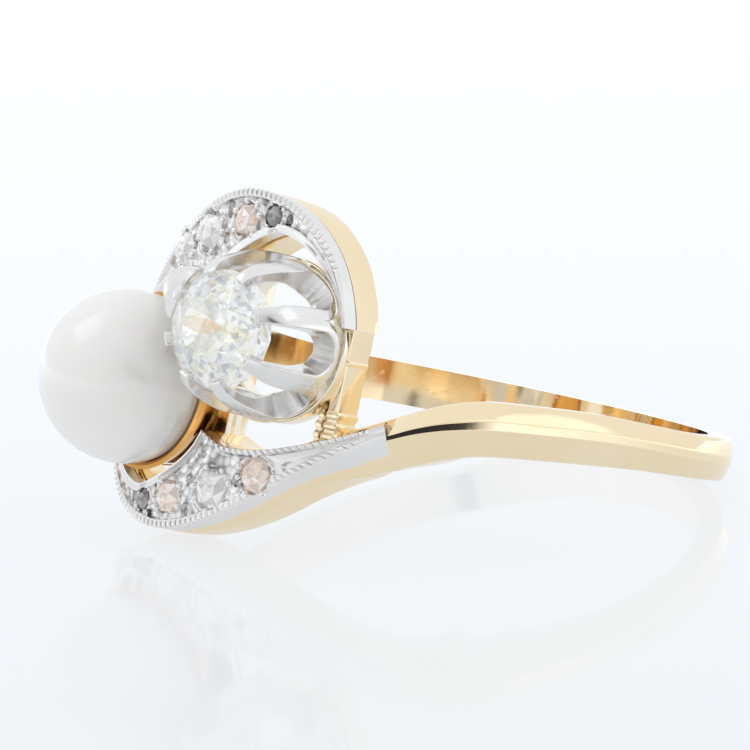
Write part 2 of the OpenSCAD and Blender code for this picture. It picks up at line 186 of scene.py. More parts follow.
def fillet(outline: Array, radii: Array, steps: int = 4, flats: bool = False) -> Array:
    """Rounds the corners of closed outlines: each corner becomes a quadratic curve.

    Args:
        outline: Corners, shape (sections, corners, 3).
        radii: How far from each corner the curve starts, shape (corners,) or (sections, corners).
        steps: Pieces of each curve.
        flats: Whether a point just before and after each curve keeps the faces between them flat.

    Returns:
        Points of shape (sections, corners * (steps + 1), 3), with two more a corner where flats is set.
    """
    before, after = np.roll(outline, 1, axis=1) - outline, np.roll(outline, -1, axis=1) - outline
    la, lb = np.linalg.norm(before, axis=-1), np.linalg.norm(after, axis=-1)
    reach = np.minimum(np.broadcast_to(radii, la.shape), 0.46 * np.minimum(la, lb))[..., None]
    start, end = outline + unit(before) * reach, outline + unit(after) * reach
    t = np.linspace(0.0, 1.0, steps + 1)[None, None, :, None]
    curve = (1 - t) ** 2 * start[:, :, None] + 2 * t * (1 - t) * outline[:, :, None] + t**2 * end[:, :, None]
    if flats:
        early, late = (outline + unit(before) * reach * 1.08), (outline + unit(after) * reach * 1.08)
        curve = np.concatenate([early[:, :, None], curve, late[:, :, None]], axis=2)
    return curve.reshape(outline.shape[0], -1, 3)


@dataclass
class Skin:
    """Surfaces of one piece, collected as arrays before they become a mesh."""

    points: list[Array] = field(default_factory=list)
    quads: list[Array] = field(default_factory=list)
    fans: list[list[int]] = field(default_factory=list)
    cuts: list[Array] = field(default_factory=list)
    count: int = 0

    def grid(self, rows: Array, wrap_u: bool = False, cap: bool = False, cut: Array | None = None) -> None:
        """Adds a grid of points as quads, turned so that a closed one faces outwards.

        Args:
            rows: Points of shape (m, n, 3).
            wrap_u: Whether the last row joins the first; the last column always does.
            cap: Whether the first and the last row are closed by a face.
            cut: How far each point is engraved, shape (m, n).
        """
        m, n = rows.shape[:2]
        self.cuts.append(np.zeros(m * n) if cut is None else cut.ravel())
        i, j = np.arange(m if wrap_u else m - 1), np.arange(n)
        a = (i[:, None] * n + j[None, :]).ravel()
        b = (i[:, None] * n + (j[None, :] + 1) % n).ravel()
        c = (((i[:, None] + 1) % m) * n + (j[None, :] + 1) % n).ravel()
        d = (((i[:, None] + 1) % m) * n + j[None, :]).ravel()
        quads = np.stack([a, b, c, d], axis=-1)
        flat = rows.reshape(-1, 3)
        fans = [list(range(n - 1, -1, -1)), [(m - 1) * n + k for k in range(n)]] if cap else []
        if self._volume(flat, quads, fans) < 0:
            quads = quads[:, ::-1]
            fans = [f[::-1] for f in fans]
        self.points.append(flat)
        self.quads.append(quads + self.count)
        self.fans += [[k + self.count for k in f] for f in fans]
        self.count += len(flat)

    @staticmethod
    def _volume(points: Array, quads: Array, fans: list[list[int]]) -> float:
        """Signed volume: the sum of the tetrahedra from the middle to each triangle.

        Args:
            points: The surface's points.
            quads: Its four-sided faces.
            fans: Its other faces, each a list of point numbers.

        Returns:
            A number that is negative where the faces point inwards.
        """
        p = points - points.mean(axis=0)
        tris = [quads[:, [0, 1, 2]], quads[:, [0, 2, 3]]]
        tris += [np.array([[f[0], f[k], f[k + 1]] for k in range(1, len(f) - 1)]) for f in fans]
        t = np.concatenate(tris)
        return float(np.einsum("ij,ij->i", p[t[:, 0]], np.cross(p[t[:, 1]], p[t[:, 2]])).sum())

    def facets(self, points: Array, faces: list[list[int]]) -> None:
        """Adds a convex cut stone: each face is turned away from the stone's middle.

        Args:
            points: The stone's corners.
            faces: Its facets, each a list of corner numbers.
        """
        middle = points.mean(axis=0)
        for f in faces:
            p = points[f]
            normal = np.cross(p[1] - p[0], p[2] - p[0])
            self.fans.append([k + self.count for k in (f if normal @ (p[0] - middle) > 0 else f[::-1])])
        self.points.append(points)
        self.count += len(points)

    def build(self, name: str, slot: str, finish: Material, crease: float | None,
              replaces: tuple[str, ...] = ()) -> bpy.types.Object:
        """Makes the mesh object, in metres in the row's frame.

        Args:
            name: The piece's plain name.
            slot: The record's material slot; not used.
            finish: The material.
            crease: Edges sharper than this many degrees stay sharp; None shades the piece flat.
            replaces: CAD nodes that the piece stands for.

        Returns:
            The new object, riding on the ring.
        """
        points = PLACE.world(np.concatenate(self.points))
        faces = (np.concatenate(self.quads).tolist() if self.quads else []) + self.fans
        mesh = bpy.data.meshes.new(name)
        mesh.from_pydata(points.tolist(), [], faces)
        mesh.validate()
        mesh.materials.append(finish)
        if crease is not None:
            mesh.shade_smooth()
            mesh.set_sharp_from_angle(angle=math.radians(crease))
        if any(np.any(c > 0) for c in self.cuts):
            mark = mesh.attributes.new("cut", "FLOAT", "POINT")
            mark.data.foreach_set("value", np.concatenate(self.cuts))
        if crease is None and self.fans:
            facet = mesh.attributes.new("facet", "FLOAT", "FACE")
            facet.data.foreach_set("value", np.mod(np.arange(len(mesh.polygons)) * GOLDEN_STEP, 1.0))
        piece = bpy.data.objects.new(name, mesh)
        bpy.context.scene.collection.objects.link(piece)
        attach(piece, "root")
        if replaces:
            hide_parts(*replaces)
        LOG.info("%s: %d points, %d faces", name, len(mesh.vertices), len(mesh.polygons))
        return piece


def revolve(profile: Array, sides: int) -> Array:
    """Turns a closed outline of radius and height about Z: a grid that closes both ways."""
    turn = np.linspace(0.0, 2 * math.pi, sides, endpoint=False)
    return polar(profile[:, 0], turn[:, None], profile[:, 1])


def rounded(corners: list[tuple[float, float]], radius: float) -> Array:
    """A closed plane outline with round corners.

    Args:
        corners: The outline's corners in order.
        radius: How far from each corner its curve starts.

    Returns:
        Points of shape (n, 2).
    """
    flat = np.array(corners, float)
    outline = np.column_stack([flat, np.zeros(len(flat))])[None]
    return fillet(outline, np.full(len(flat), radius))[0][:, :2]


def bead(middle: Array, radius: Array, up: Array) -> Array:
    """Half balls on a surface: rings of points from the foot to the top, for each bead.

    Args:
        middle: Places, shape (beads, 3).
        radius: Radii, shape (beads,).
        up: Directions away from the surface, shape (beads, 3).

    Returns:
        Points of shape (beads, rings, sides, 3).
    """
    aslant = np.array([0.31, 0.2, 0.93])
    side = unit(np.cross(up, aslant))
    other = np.cross(up, side)
    rise = np.linspace(-0.5, 0.5 * math.pi * 0.97, BEAD_RINGS)[None, :, None, None]
    turn = np.linspace(0.0, 2 * math.pi, BEAD_SIDES, endpoint=False)[None, None, :, None]
    ring = side[:, None, None] * np.cos(turn) + other[:, None, None] * np.sin(turn)
    return middle[:, None, None] + radius[:, None, None, None] * (
        ring * np.cos(rise) + up[:, None, None] * np.sin(rise))


@dataclass(frozen=True)
class Sizes:
    """The ring's main sizes, in millimetres; heights are from the finger axis."""

    finger_r: float = 8.5
    band_r: float = 9.55
    band_w: float = 1.6
    arm_ridge: float = 0.8
    undercut: float = 0.8
    bore_over: float = 0.3
    shoulder_r: float = 12.58
    shoulder_lean: float = 0.6
    seam_x: float = 7.3
    head_z: float = 6.2
    body_depth: float = 2.05
    foot_in: float = 0.1
    plate_t: float = 0.5
    solder: float = 0.04
    rim_h: float = 0.12
    gem_x: float = 2.85
    gem_z: float = 1.24
    pearl_r: float = 3.1
    pearl_up: float = 13.65
    girdle_r: float = 2.1
    girdle_wide: float = 2.35
    girdle_up: float = 14.6
    gem_tilt: float = math.radians(8.4)
    rose_d: float = 1.42
    crown_r: float = 3.0
    loop_up: float = 12.6
    seat_h: float = 0.7
    seat_t: float = 0.55
    bar_w: float = 1.1
    bar_h: float = 0.9
    pearl_seat_r: float = 2.353
    cup_t: float = 0.24
    cup_drop: float = 1.15
    seat_gap: float = 0.04


S = Sizes()

# Lower shoulder, tip to seam: inner and outer edge (x of seam_x, z of head_z), spread of the gold past
# the inner and the outer edge (of band_w), depth of the gold (of body_depth).
SHOULDER = np.array([
    [-0.784, -0.346, -0.804, -0.346, 0.14, 0.00, 0.82],
    [-0.760, -0.436, -0.790, -0.425, 0.16, 0.00, 0.83],
    [-0.726, -0.513, -0.767, -0.508, 0.18, 0.00, 0.85],
    [-0.678, -0.588, -0.733, -0.605, 0.18, 0.00, 0.86],
    [-0.610, -0.664, -0.682, -0.708, 0.16, 0.00, 0.89],
    [-0.527, -0.729, -0.606, -0.811, 0.12, 0.00, 0.92],
    [-0.438, -0.771, -0.507, -0.900, 0.08, 0.00, 0.95],
    [-0.342, -0.787, -0.377, -0.969, 0.05, 0.00, 0.98],
    [-0.247, -0.749, -0.240, -0.998, 0.03, 0.00, 1.00],
    [-0.151, -0.684, -0.103, -1.000, 0.02, 0.02, 1.02],
    [-0.048, -0.600, 0.034, -0.968, 0.02, 0.08, 1.04],
    [0.030, -0.502, 0.164, -0.909, 0.02, 0.12, 1.07],
    [0.075, -0.397, 0.288, -0.832, 0.02, 0.15, 1.09],
    [0.199, -0.449, 0.411, -0.738, 0.03, 0.17, 1.11],
    [0.322, -0.452, 0.527, -0.630, 0.06, 0.18, 1.12],
    [0.452, -0.426, 0.641, -0.524, 0.10, 0.23, 1.12],
    [0.589, -0.374, 0.742, -0.427, 0.16, 0.35, 1.13],
    [0.726, -0.306, 0.836, -0.337, 0.21, 0.50, 1.18],
    [0.863, -0.226, 0.921, -0.252, 0.24, 0.66, 1.28],
    [0.986, -0.129, 1.000, -0.184, 0.24, 0.79, 1.42],
])
CORNER = 12
LAST = len(SHOULDER) - 1
TURN_FROM = 14
SEAM_FOOT = 0.6
SEAM_SLANT = math.radians(20)
RADIAL_FROM = 0.12
PLATE_SPREAD = 0.58

# Arm, seam to the middle of the back: share of the way, z (of head_z), width (of band_w), rise, ridge,
# lift off the finger, place of the outer lower edge.
ARM = np.array([
    [0.000, -0.222, 1.22, 1.000, 1.00, 1.00, 0.53],
    [0.030, -0.154, 1.27, 0.882, 0.94, 0.30, 0.66],
    [0.065, -0.100, 1.27, 0.731, 0.82, 0.00, 0.80],
    [0.114, -0.056, 1.23, 0.520, 0.70, 0.00, 0.90],
    [0.184, -0.028, 1.19, 0.280, 0.57, 0.00, 0.94],
    [0.281, -0.003, 1.15, 0.089, 0.44, 0.00, 0.94],
    [0.386, 0.006, 1.05, 0.015, 0.35, 0.00, 0.94],
    [0.511, 0.003, 1.00, 0.000, 0.28, 0.00, 0.94],
    [0.740, 0.000, 1.00, 0.000, 0.25, 0.00, 0.94],
    [1.000, 0.000, 1.00, 0.000, 0.25, 0.00, 0.94],
])

# A plate's stones: x (of seam_x), z (of head_z), diameter (of rose_d).
ROSES = np.array([
    [0.444, -0.577, 0.88],
    [0.204, -0.711, 1.00],
    [-0.082, -0.815, 0.84],
    [-0.274, -0.870, 0.52],
])

# Cut cells between a plate's stones: x (of seam_x), z (of head_z), half length, half width, depth.
CELLS = (
    (0.605, -0.485, 0.30, 0.20, 0.10),
    (0.345, -0.625, 0.17, 0.22, 0.16),
    (0.30, -0.795, 0.2, 0.15, 0.12),
    (0.06, -0.86, 0.17, 0.3, 0.16),
    (0.05, -0.69, 0.15, 0.2, 0.14),
    (-0.185, -0.80, 0.1, 0.16, 0.13),
    (-0.20, -0.93, 0.15, 0.1, 0.12),
    (-0.375, -0.865, 0.15, 0.2, 0.14),
    (0.10, -0.53, 0.2, 0.12, 0.1),
)

# Grains that hold each stone: degrees round it, radius.
GRAINS = ((8, 0.16), (48, 0.12), (102, 0.15), (165, 0.17), (196, 0.13), (250, 0.14), (306, 0.16))

# Raised bands on a tie, from its foot (0) to its head (1): place, half width, height in millimetres.
BANDS = ((0.965, 0.012, 0.03), (0.70, 0.02, 0.03), (0.33, 0.028, 0.07),
         (0.255, 0.028, 0.08), (0.18, 0.028, 0.08), (0.105, 0.028, 0.07))


@dataclass(frozen=True)
class Shoulder:
    """The swept shoulder that carries a platinum plate: its edges, its round top, its gold and its arm.

    Attributes:
        flat_seam: Half width at the seam of the flat band above the arm's ridge, of the arm's half width.
        flat_full: The same where the band is full.
        flat_over: Share of the arm's way over which it widens.
        even_from: Share of the way where the arm starts to turn even and round.
        even_over: Share of the way over which it does.
    """

    flat_seam: float = 0.19
    flat_full: float = 0.36
    flat_over: float = 0.11
    even_from: float = 0.3
    even_over: float = 0.35

    def top(self, x: Array) -> Array:
        """Height of the round top over the finger axis: a circle shifted towards the tip."""
        return np.sqrt(S.shoulder_r**2 - (x + S.shoulder_lean) ** 2)

    def inner(self, u: Array) -> Array:
        """The plate's inner edge, in two curves that meet in a point at the corner row.

        Args:
            u: Row numbers of the SHOULDER table.

        Returns:
            Places across and along the finger.
        """
        first = spline(SHOULDER, 0, CORNER, np.minimum(u, CORNER))
        second = spline(SHOULDER, CORNER, LAST, np.maximum(u, CORNER))
        return np.where((u <= CORNER)[:, None], first, second)[:, :2] * [S.seam_x, S.head_z]

    def outer(self, u: Array) -> Array:
        """The plate's outer edge."""
        return spline(SHOULDER, 0, LAST, u)[:, 2:4] * [S.seam_x, S.head_z]

    def slant(self, u: Array) -> Array:
        """Slant of the depth towards the seam, in radians."""
        return SEAM_SLANT * ease((u - LAST + 4) / 4)

    def spread_way(self, u: Array) -> Array:
        """Direction in which the gold spreads past the plate: across it, or along the finger at the seam.

        Args:
            u: Row numbers of the SHOULDER table.

        Returns:
            A direction of length one for each row.
        """
        across = unit(self.outer(u) - self.inner(u))
        turn = ease((u - TURN_FROM) / (LAST - TURN_FROM))[:, None]
        return unit(mix(across, np.array([0.0, -1.0]), turn))

    def lift(self, place: Array, depth: Array, slant: Array) -> Array:
        """Points at places across and along the finger, at a depth under the round top.

        Args:
            place: Places across and along the finger.
            depth: Millimetres under the top.
            slant: Slant of the depth, in radians.

        Returns:
            Ring points.
        """
        x = place[..., 0]
        up = self.top(x) - depth * np.cos(slant)
        return np.stack([x - depth * np.sin(slant), -up, place[..., 1]], axis=-1)

    def gold(self, u: Array) -> Array:
        """Eleven corners of the gold's section at each row number, from the inner foot to the outer foot.

        Args:
            u: Row numbers of the SHOULDER table.

        Returns:
            Ring points of shape (rows, 11, 3).
        """
        row, way, slant = spline(SHOULDER, 0, LAST, u), self.spread_way(u), self.slant(u)
        inner, outer = self.inner(u), self.outer(u)
        spread_in, spread_out = row[:, 4:5] * S.band_w, row[:, 5:6] * S.band_w
        deep, seat = row[:, 6] * S.body_depth, np.full(len(u), S.plate_t + S.solder)
        lip = np.minimum(seat + S.arm_ridge / 2, mix(seat, deep, 0.5))
        keep = mix(1.0, SEAM_FOOT, ease((u - TURN_FROM) / (LAST - TURN_FROM)))[:, None]
        far_in, far_out = inner - way * spread_in, outer + way * spread_out
        near_out = outer + way * spread_out * PLATE_SPREAD
        foot = outer + way * (spread_out * keep - S.foot_in)
        places = np.stack([far_in, far_in, mix(inner, far_in, 0.8), inner, mix(inner, near_out, 0.34),
                           mix(inner, near_out, 0.67), near_out, far_out, mix(far_out, foot, 0.4), foot,
                           mix(far_in, foot, 0.5)], axis=1)
        depths = np.stack([deep, mix(seat, deep, 0.5), mix(seat, deep, 0.1), seat, seat, seat, seat,
                           lip, mix(lip, deep, 0.7), deep, deep], axis=1)
        return self.lift(places, depths, slant[:, None])

    def arm(self, share: Array) -> Array:
        """Eleven corners of the arm's section at each share of the way from the seam to the back.

        Above the ridge runs a narrow flat band, which widens from the seam and fades into an even round
        towards the back.

        Args:
            share: Shares of the way from 0 to 1.

        Returns:
            Ring points of shape (shares, 11, 3).
        """
        row = spline(ARM, 0, len(ARM) - 1, np.interp(share, ARM[:, 0], np.arange(len(ARM))))
        seam_r = math.hypot(S.seam_x, float(self.top(np.array(S.seam_x))))
        seam_angle = math.atan2(S.seam_x, float(self.top(np.array(S.seam_x))))
        turn = mix(seam_angle + math.asin(S.solder / seam_r), math.pi, row[:, 0])
        slant = mix(SEAM_SLANT, turn, ease(row[:, 0] / RADIAL_FROM))
        middle, half = row[:, 1] * S.head_z, row[:, 2] * S.band_w / 2
        r, ridge = mix(S.band_r, seam_r, row[:, 3]), row[:, 4] * S.arm_ridge
        under = S.finger_r - S.bore_over + row[:, 5] * (S.undercut + S.bore_over)
        deep, one = (r - under) / np.cos(turn - slant), np.ones(len(row))
        even = ease((row[:, 0] - self.even_from) / self.even_over)
        flat = mix(self.flat_seam, self.flat_full, np.clip(row[:, 0] / self.flat_over, 0.0, 1.0))
        foot = -row[:, 6]
        spans = np.stack([0.94 * one, 0.99 * one, one, mix(0.66, 0.55, even), mix(flat, 0.2, even),
                          -0.2 * even, -0.55 * one, -one, mix(-one, foot, 0.4), foot, 0 * one], axis=1)
        depths = np.stack([deep, mix(ridge, deep, 0.5), ridge, 0.42 * ridge, mix(0.03, 0.06, even) * ridge,
                           0.06 * even * ridge, 0.45 * ridge, ridge, mix(ridge, deep, 0.7), deep, deep],
                          axis=1)
        x = (r * np.sin(turn))[:, None] - depths * np.sin(slant)[:, None]
        y = -((r * np.cos(turn))[:, None] - depths * np.cos(slant)[:, None])
        return np.stack([x, y, middle[:, None] + spans * half[:, None]], axis=-1)


SHAPE = Shoulder()


class NodeKit:
    """Short ways to add and join shader nodes in one tree."""

    def __init__(self, tree: NodeTree) -> None:
        """Keeps the tree."""
        self.tree = tree

    def add(self, kind: str, *joins: Socket, **values: object) -> Node:
        """Adds a node.

        Args:
            kind: Blender's type name of the node.
            *joins: Sockets for its first inputs.
            **values: Properties by name, and inputs as in_ and their name with _ for a space.

        Returns:
            The node.
        """
        node = self.tree.nodes.new(kind)
        for key, value in values.items():
            if key.startswith("in_"):
                node.inputs[key[3:].replace("_", " ")].default_value = value
            else:
                setattr(node, key, value)
        for source, target in zip(joins, node.inputs):
            self.link(source, target)
        return node

    def link(self, source: Socket, target: Socket) -> None:
        """Joins two sockets."""
        self.tree.links.new(source, target)

    def place(self, kind: str = "Object") -> Socket:
        """Texture coordinates of a kind."""
        return self.add("ShaderNodeTexCoord").outputs[kind]

    def math(self, operation: str, *terms: Socket | float) -> Socket:
        """A sum or product of sockets and plain numbers.

        Args:
            operation: Blender's name of the operation.
            *terms: Its terms in order.

        Returns:
            The result.
        """
        node = self.add("ShaderNodeMath", operation=operation)
        for term, target in zip(terms, node.inputs):
            if isinstance(term, float):
                target.default_value = term
            else:
                self.link(term, target)
        return node.outputs[0]

    def noise(self, place: Socket, scale: float, detail: float, roughness: float = 0.5) -> Socket:
        """Even noise from 0 to 1."""
        return self.add("ShaderNodeTexNoise", place, in_Scale=scale, in_Detail=detail,
                        in_Roughness=roughness).outputs["Fac"]

    def cells(self, place: Socket, scale: float) -> Node:
        """Voronoi cells."""
        return self.add("ShaderNodeTexVoronoi", place, feature="F1", in_Scale=scale)

    def ranged(self, value: Socket, start: float, stop: float, low: float = 0.0, high: float = 1.0) -> Socket:
        """The value brought from start to stop into low to high, and held at both ends."""
        return self.add("ShaderNodeMapRange", value, in_From_Min=start, in_From_Max=stop, in_To_Min=low,
                        in_To_Max=high).outputs["Result"]

    def ramp(self, value: Socket, stops: list[tuple[float, Colour]], kind: str = "LINEAR") -> Socket:
        """Colours by value; each stop is a place and a colour.

        Args:
            value: Where on the ramp.
            stops: The stops in order.
            kind: How the ramp runs between them.

        Returns:
            The colour.
        """
        node = self.add("ShaderNodeValToRGB", value)
        node.color_ramp.interpolation = kind
        elements = node.color_ramp.elements
        elements[1].position = stops[-1][0]
        while len(elements) < len(stops):
            elements.new(stops[len(elements) - 1][0])
        for element, (at, colour) in zip(elements, stops):
            element.position, element.color = at, (*colour, 1.0)
        return node.outputs["Color"]

    def blend(self, share: Socket, colour: Socket, other: Colour) -> Socket:
        """A colour that turns into another by a share.

        Args:
            share: How far, from 0 to 1.
            colour: The colour at 0.
            other: The colour at 1.

        Returns:
            The blended colour.
        """
        node = self.add("ShaderNodeMix", share, data_type="RGBA")
        self.link(colour, node.inputs[6])
        node.inputs[7].default_value = (*other, 1.0)
        return node.outputs[2]

    def bump(self, height: Socket, strength: float, distance: float) -> Node:
        """A bump of a height, in metres at full strength.

        Args:
            height: The height.
            strength: How strong the bump is, from 0 to 1.
            distance: Metres of a height of 1.

        Returns:
            The bump's node.
        """
        node = self.add("ShaderNodeBump", in_Strength=strength, in_Distance=distance)
        self.link(height, node.inputs["Height"])
        return node


def new_material(name: str, **values: object) -> tuple[Material, NodeKit, Node]:
    """Starts a material.

    Args:
        name: Its name.
        **values: The shader's constants, by input name with _ for a space.
    """
    made = bpy.data.materials.new(name)
    made.use_nodes = True
    shader = made.node_tree.nodes["Principled BSDF"]
    for key, value in values.items():
        shader.inputs[key.replace("_", " ")].default_value = value
    return made, NodeKit(made.node_tree), shader


def surface_group() -> NodeTree:
    """The fine life of a worn metal surface: faint scratches and hazy patches.

    Returns:
        A shader node group with inputs Scratches, Haze and Base, and outputs Rough and Height.
    """
    tree = bpy.data.node_groups.new("worn_surface", "ShaderNodeTree")
    for name in ("Scratches", "Haze", "Base"):
        tree.interface.new_socket(name=name, in_out="INPUT", socket_type="NodeSocketFloat")
    for name in ("Rough", "Height"):
        tree.interface.new_socket(name=name, in_out="OUTPUT", socket_type="NodeSocketFloat")
    kit = NodeKit(tree)
    come, place = kit.add("NodeGroupInput").outputs, kit.place()
    stretch = kit.add("ShaderNodeMapping", place, in_Scale=(900.0, 2600.0, 5200.0),
                      in_Rotation=(0.35, 0.2, 0.6))
    lines = kit.ranged(kit.noise(stretch.outputs["Vector"], 1.0, 4.0, 0.6), 0.58, 0.72)
    patches = kit.ranged(kit.noise(place, 620.0, 5.0, 0.55), 0.35, 0.7)
    both = kit.math("ADD", kit.math("MULTIPLY", patches, come["Haze"]),
                    kit.math("MULTIPLY", lines, come["Scratches"]))
    kit.add("NodeGroupOutput", kit.math("ADD", both, come["Base"]), both)
    return tree


@dataclass(frozen=True)
class Metal:
    """A polished precious metal that has been worn.

    Attributes:
        name: The material's name.
        colour: Where it is clean.
        shade: Where it is dull.
        base: Roughness of the clean metal.
        haze: How much rougher the hazy patches are.
        scratches: How much rougher the scratches are.
        bump: Strength of the bump of both.
        engraved: Whether the graver's cuts follow the cut attribute.
    """

    name: str
    colour: Colour
    shade: Colour
    base: float
    haze: float = 0.12
    scratches: float = 0.12
    bump: float = 0.3
    engraved: bool = False

    def material(self, group: NodeTree) -> Material:
        """Builds the material.

        Args:
            group: The worn surface group.

        Returns:
            A material whose colour varies a little and whose gloss is broken by wear.
        """
        made, kit, shader = new_material(self.name, Metallic=1.0)
        wear = kit.add("ShaderNodeGroup", node_tree=group, in_Scratches=self.scratches, in_Haze=self.haze,
                       in_Base=self.base)
        place = kit.place()
        colour = kit.ramp(kit.noise(place, 260.0, 3.0), [(0.35, self.shade), (0.68, self.colour)])
        bump = kit.bump(wear.outputs["Height"], self.bump, 0.00002)
        if self.engraved:
            colour, bump = self.engrave(kit, place, colour, bump)
        kit.link(wear.outputs["Rough"], shader.inputs["Roughness"])
        kit.link(colour, shader.inputs["Base Color"])
        kit.link(bump.outputs["Normal"], shader.inputs["Normal"])
        return made

    @staticmethod
    def engrave(kit: NodeKit, place: Socket, colour: Socket, bump: Node) -> tuple[Socket, Node]:
        """Adds the graver's small cuts where the cut attribute is set: crossing facets, with painted shade
        that darkens their feet.

        Args:
            kit: The material's nodes.
            place: Object coordinates.
            colour: The metal's colour.
            bump: The bump of the worn surface.

        Returns:
            The colour and the bump with the cuts.
        """
        where = kit.add("ShaderNodeAttribute", attribute_name="cut")
        deep = kit.math("MULTIPLY", kit.cells(place, 3300.0).outputs["Distance"], where.outputs["Fac"])
        cuts = kit.bump(deep, 0.9, 0.00007)
        cuts.invert = True
        kit.link(bump.outputs["Normal"], cuts.inputs["Normal"])
        # The cuts' feet are blended to dark grey: painted shade in the recesses.
        return kit.blend(kit.ranged(deep, 0.45, 0.95), colour, (0.30, 0.29, 0.28)), cuts


@dataclass(frozen=True)
class Nacre:
    """The pearl's skin: cream, a soft lustre under a clear coat, with faint clouds."""

    cream: Colour = (0.98, 0.945, 0.875)
    rose: Colour = (0.965, 0.94, 0.915)

    def material(self) -> Material:
        """Builds the material.

        Returns:
            The pearl's material.
        """
        made, kit, shader = new_material("nacre", Coat_Weight=1.0, Coat_Roughness=0.12, Coat_IOR=1.7, IOR=1.6,
                                         Subsurface_Weight=0.25, Subsurface_Scale=0.0006, Sheen_Weight=0.08)
        place = kit.place()
        clouds = kit.noise(place, 190.0, 6.0, 0.6)
        kit.link(kit.ramp(clouds, [(0.3, self.rose), (0.7, self.cream)]), shader.inputs["Base Color"])
        kit.link(kit.ranged(clouds, 0.0, 1.0, 0.26, 0.36), shader.inputs["Roughness"])
        skin = kit.bump(kit.noise(place, 2600.0, 3.0), 0.12, 0.00001)
        kit.link(skin.outputs["Normal"], shader.inputs["Normal"])
        return made


@dataclass(frozen=True)
class Brilliance:
    """A clear cut stone: each facet has a painted reflection tint of its own, broken by small bright and dim
    patches.

    Attributes:
        name: The material's name.
        tints: The painted reflection tints that facets and patches choose from.
        clear: How clear the stone is; the rest mirrors its tint softly.
        painted_glow: How much it glows in its tint, a painted glow.
        patch: Patches to a metre.
        broken: How far a patch shifts its facet's tint.
    """

    name: str
    tints: tuple[Colour, ...]
    clear: float = 0.5
    painted_glow: float = 0.2
    patch: float = 2600.0
    broken: float = 0.3

    def material(self) -> Material:
        """Builds the glass; the facet attribute picks a painted reflection tint, and cells shift it as inner
        mirrors do; the tint also glows as painted light.

        Returns:
            The stone's material.
        """
        made, kit, shader = new_material(self.name, Transmission_Weight=self.clear, IOR=2.0, Roughness=0.02,
                                         Emission_Strength=self.painted_glow)
        shift = kit.add("ShaderNodeSeparateColor", kit.cells(kit.place(), self.patch).outputs["Color"])
        facet = kit.add("ShaderNodeAttribute", attribute_name="facet").outputs["Fac"]
        own = kit.math("MULTIPLY", facet, 1.0 - self.broken)
        pick = kit.math("MULTIPLY_ADD", shift.outputs[0], self.broken, own)
        stops = [(k / len(self.tints), tint) for k, tint in enumerate(self.tints)]
        # Each facet's tint is a painted reflection; fed to Emission Color it is a painted glow as well.
        colour = kit.ramp(pick, stops, "CONSTANT")
        kit.link(colour, shader.inputs["Base Color"])
        kit.link(colour, shader.inputs["Emission Color"])
        return made


class Finish(Enum):
    """The finishes that the pieces choose from."""

    GOLD = "gold"
    GOLD_PAINTED_LIGHT = "gold_painted_light"
    GOLD_PAINTED_SHADE = "gold_painted_shade"
    PLATINUM = "platinum"
    ENGRAVED = "engraved"
    PEARL = "pearl"
    DIAMOND = "diamond"
    ROSE_WARM = "rose_warm"
    ROSE_CLEAR = "rose_clear"
    ROSE_SMOKE = "rose_smoke"


def make_finishes() -> dict[Finish, Material]:
    """Builds every finish once.

    Returns:
        A material for each finish.
    """
    group = surface_group()
    metals = {
        Finish.GOLD: Metal("worn_yellow_gold", (0.98, 0.825, 0.58), (0.955, 0.78, 0.515),
                           base=0.05, haze=0.07, scratches=0.08, bump=0.25),
        # The seats' and the bar's paler gold is painted light from the diamond above them.
        Finish.GOLD_PAINTED_LIGHT: Metal("inner_gold_painted_light", (1.0, 0.93, 0.80), (0.98, 0.89, 0.72), base=0.12),
        # The cup's darker, redder gold is painted shade, standing in for the amber of light bounced between
        # the cup and the pearl.
        Finish.GOLD_PAINTED_SHADE: Metal("yellow_gold_painted_shade", (0.82, 0.46, 0.14), (0.64, 0.31, 0.07), base=0.09),
        Finish.PLATINUM: Metal("worn_platinum", (0.88, 0.865, 0.85), (0.78, 0.765, 0.75), base=0.16),
        Finish.ENGRAVED: Metal("engraved_platinum", (0.90, 0.885, 0.87), (0.80, 0.785, 0.77), base=0.14,
                               engraved=True),
    }
    stones = {
        # The stones' tints paint reflections of light and dark surroundings, and glow as painted light.
        Finish.DIAMOND: Brilliance("old_cut_diamond", (
            (0.94, 0.94, 0.83), (0.98, 0.985, 0.98), (0.86, 0.86, 0.70), (0.96, 0.975, 1.0),
            (0.58, 0.62, 0.68), (0.96, 0.965, 0.93), (1.0, 1.0, 1.0), (0.93, 0.80, 0.60)),
            clear=0.76, painted_glow=0.10, patch=4600.0, broken=0.5),
        Finish.ROSE_WARM: Brilliance("warm_rose_cut", (
            (0.84, 0.66, 0.56), (0.96, 0.95, 0.96), (0.88, 0.72, 0.62), (0.62, 0.55, 0.50),
            (0.94, 0.84, 0.78))),
        Finish.ROSE_CLEAR: Brilliance("clear_rose_cut", (
            (0.78, 0.78, 0.80), (0.97, 0.98, 1.0), (0.86, 0.84, 0.82), (0.60, 0.59, 0.58),
            (0.92, 0.93, 0.95))),
        Finish.ROSE_SMOKE: Brilliance("smoky_rose_cut", (
            (0.40, 0.38, 0.37), (0.70, 0.68, 0.67), (0.30, 0.28, 0.27), (0.58, 0.55, 0.53),
            (0.82, 0.80, 0.80)), painted_glow=0.03),
    }
    made = {key: metal.material(group) for key, metal in metals.items()}
    made.update({key: stone.material() for key, stone in stones.items()})
    made[Finish.PEARL] = Nacre().material()
    return made


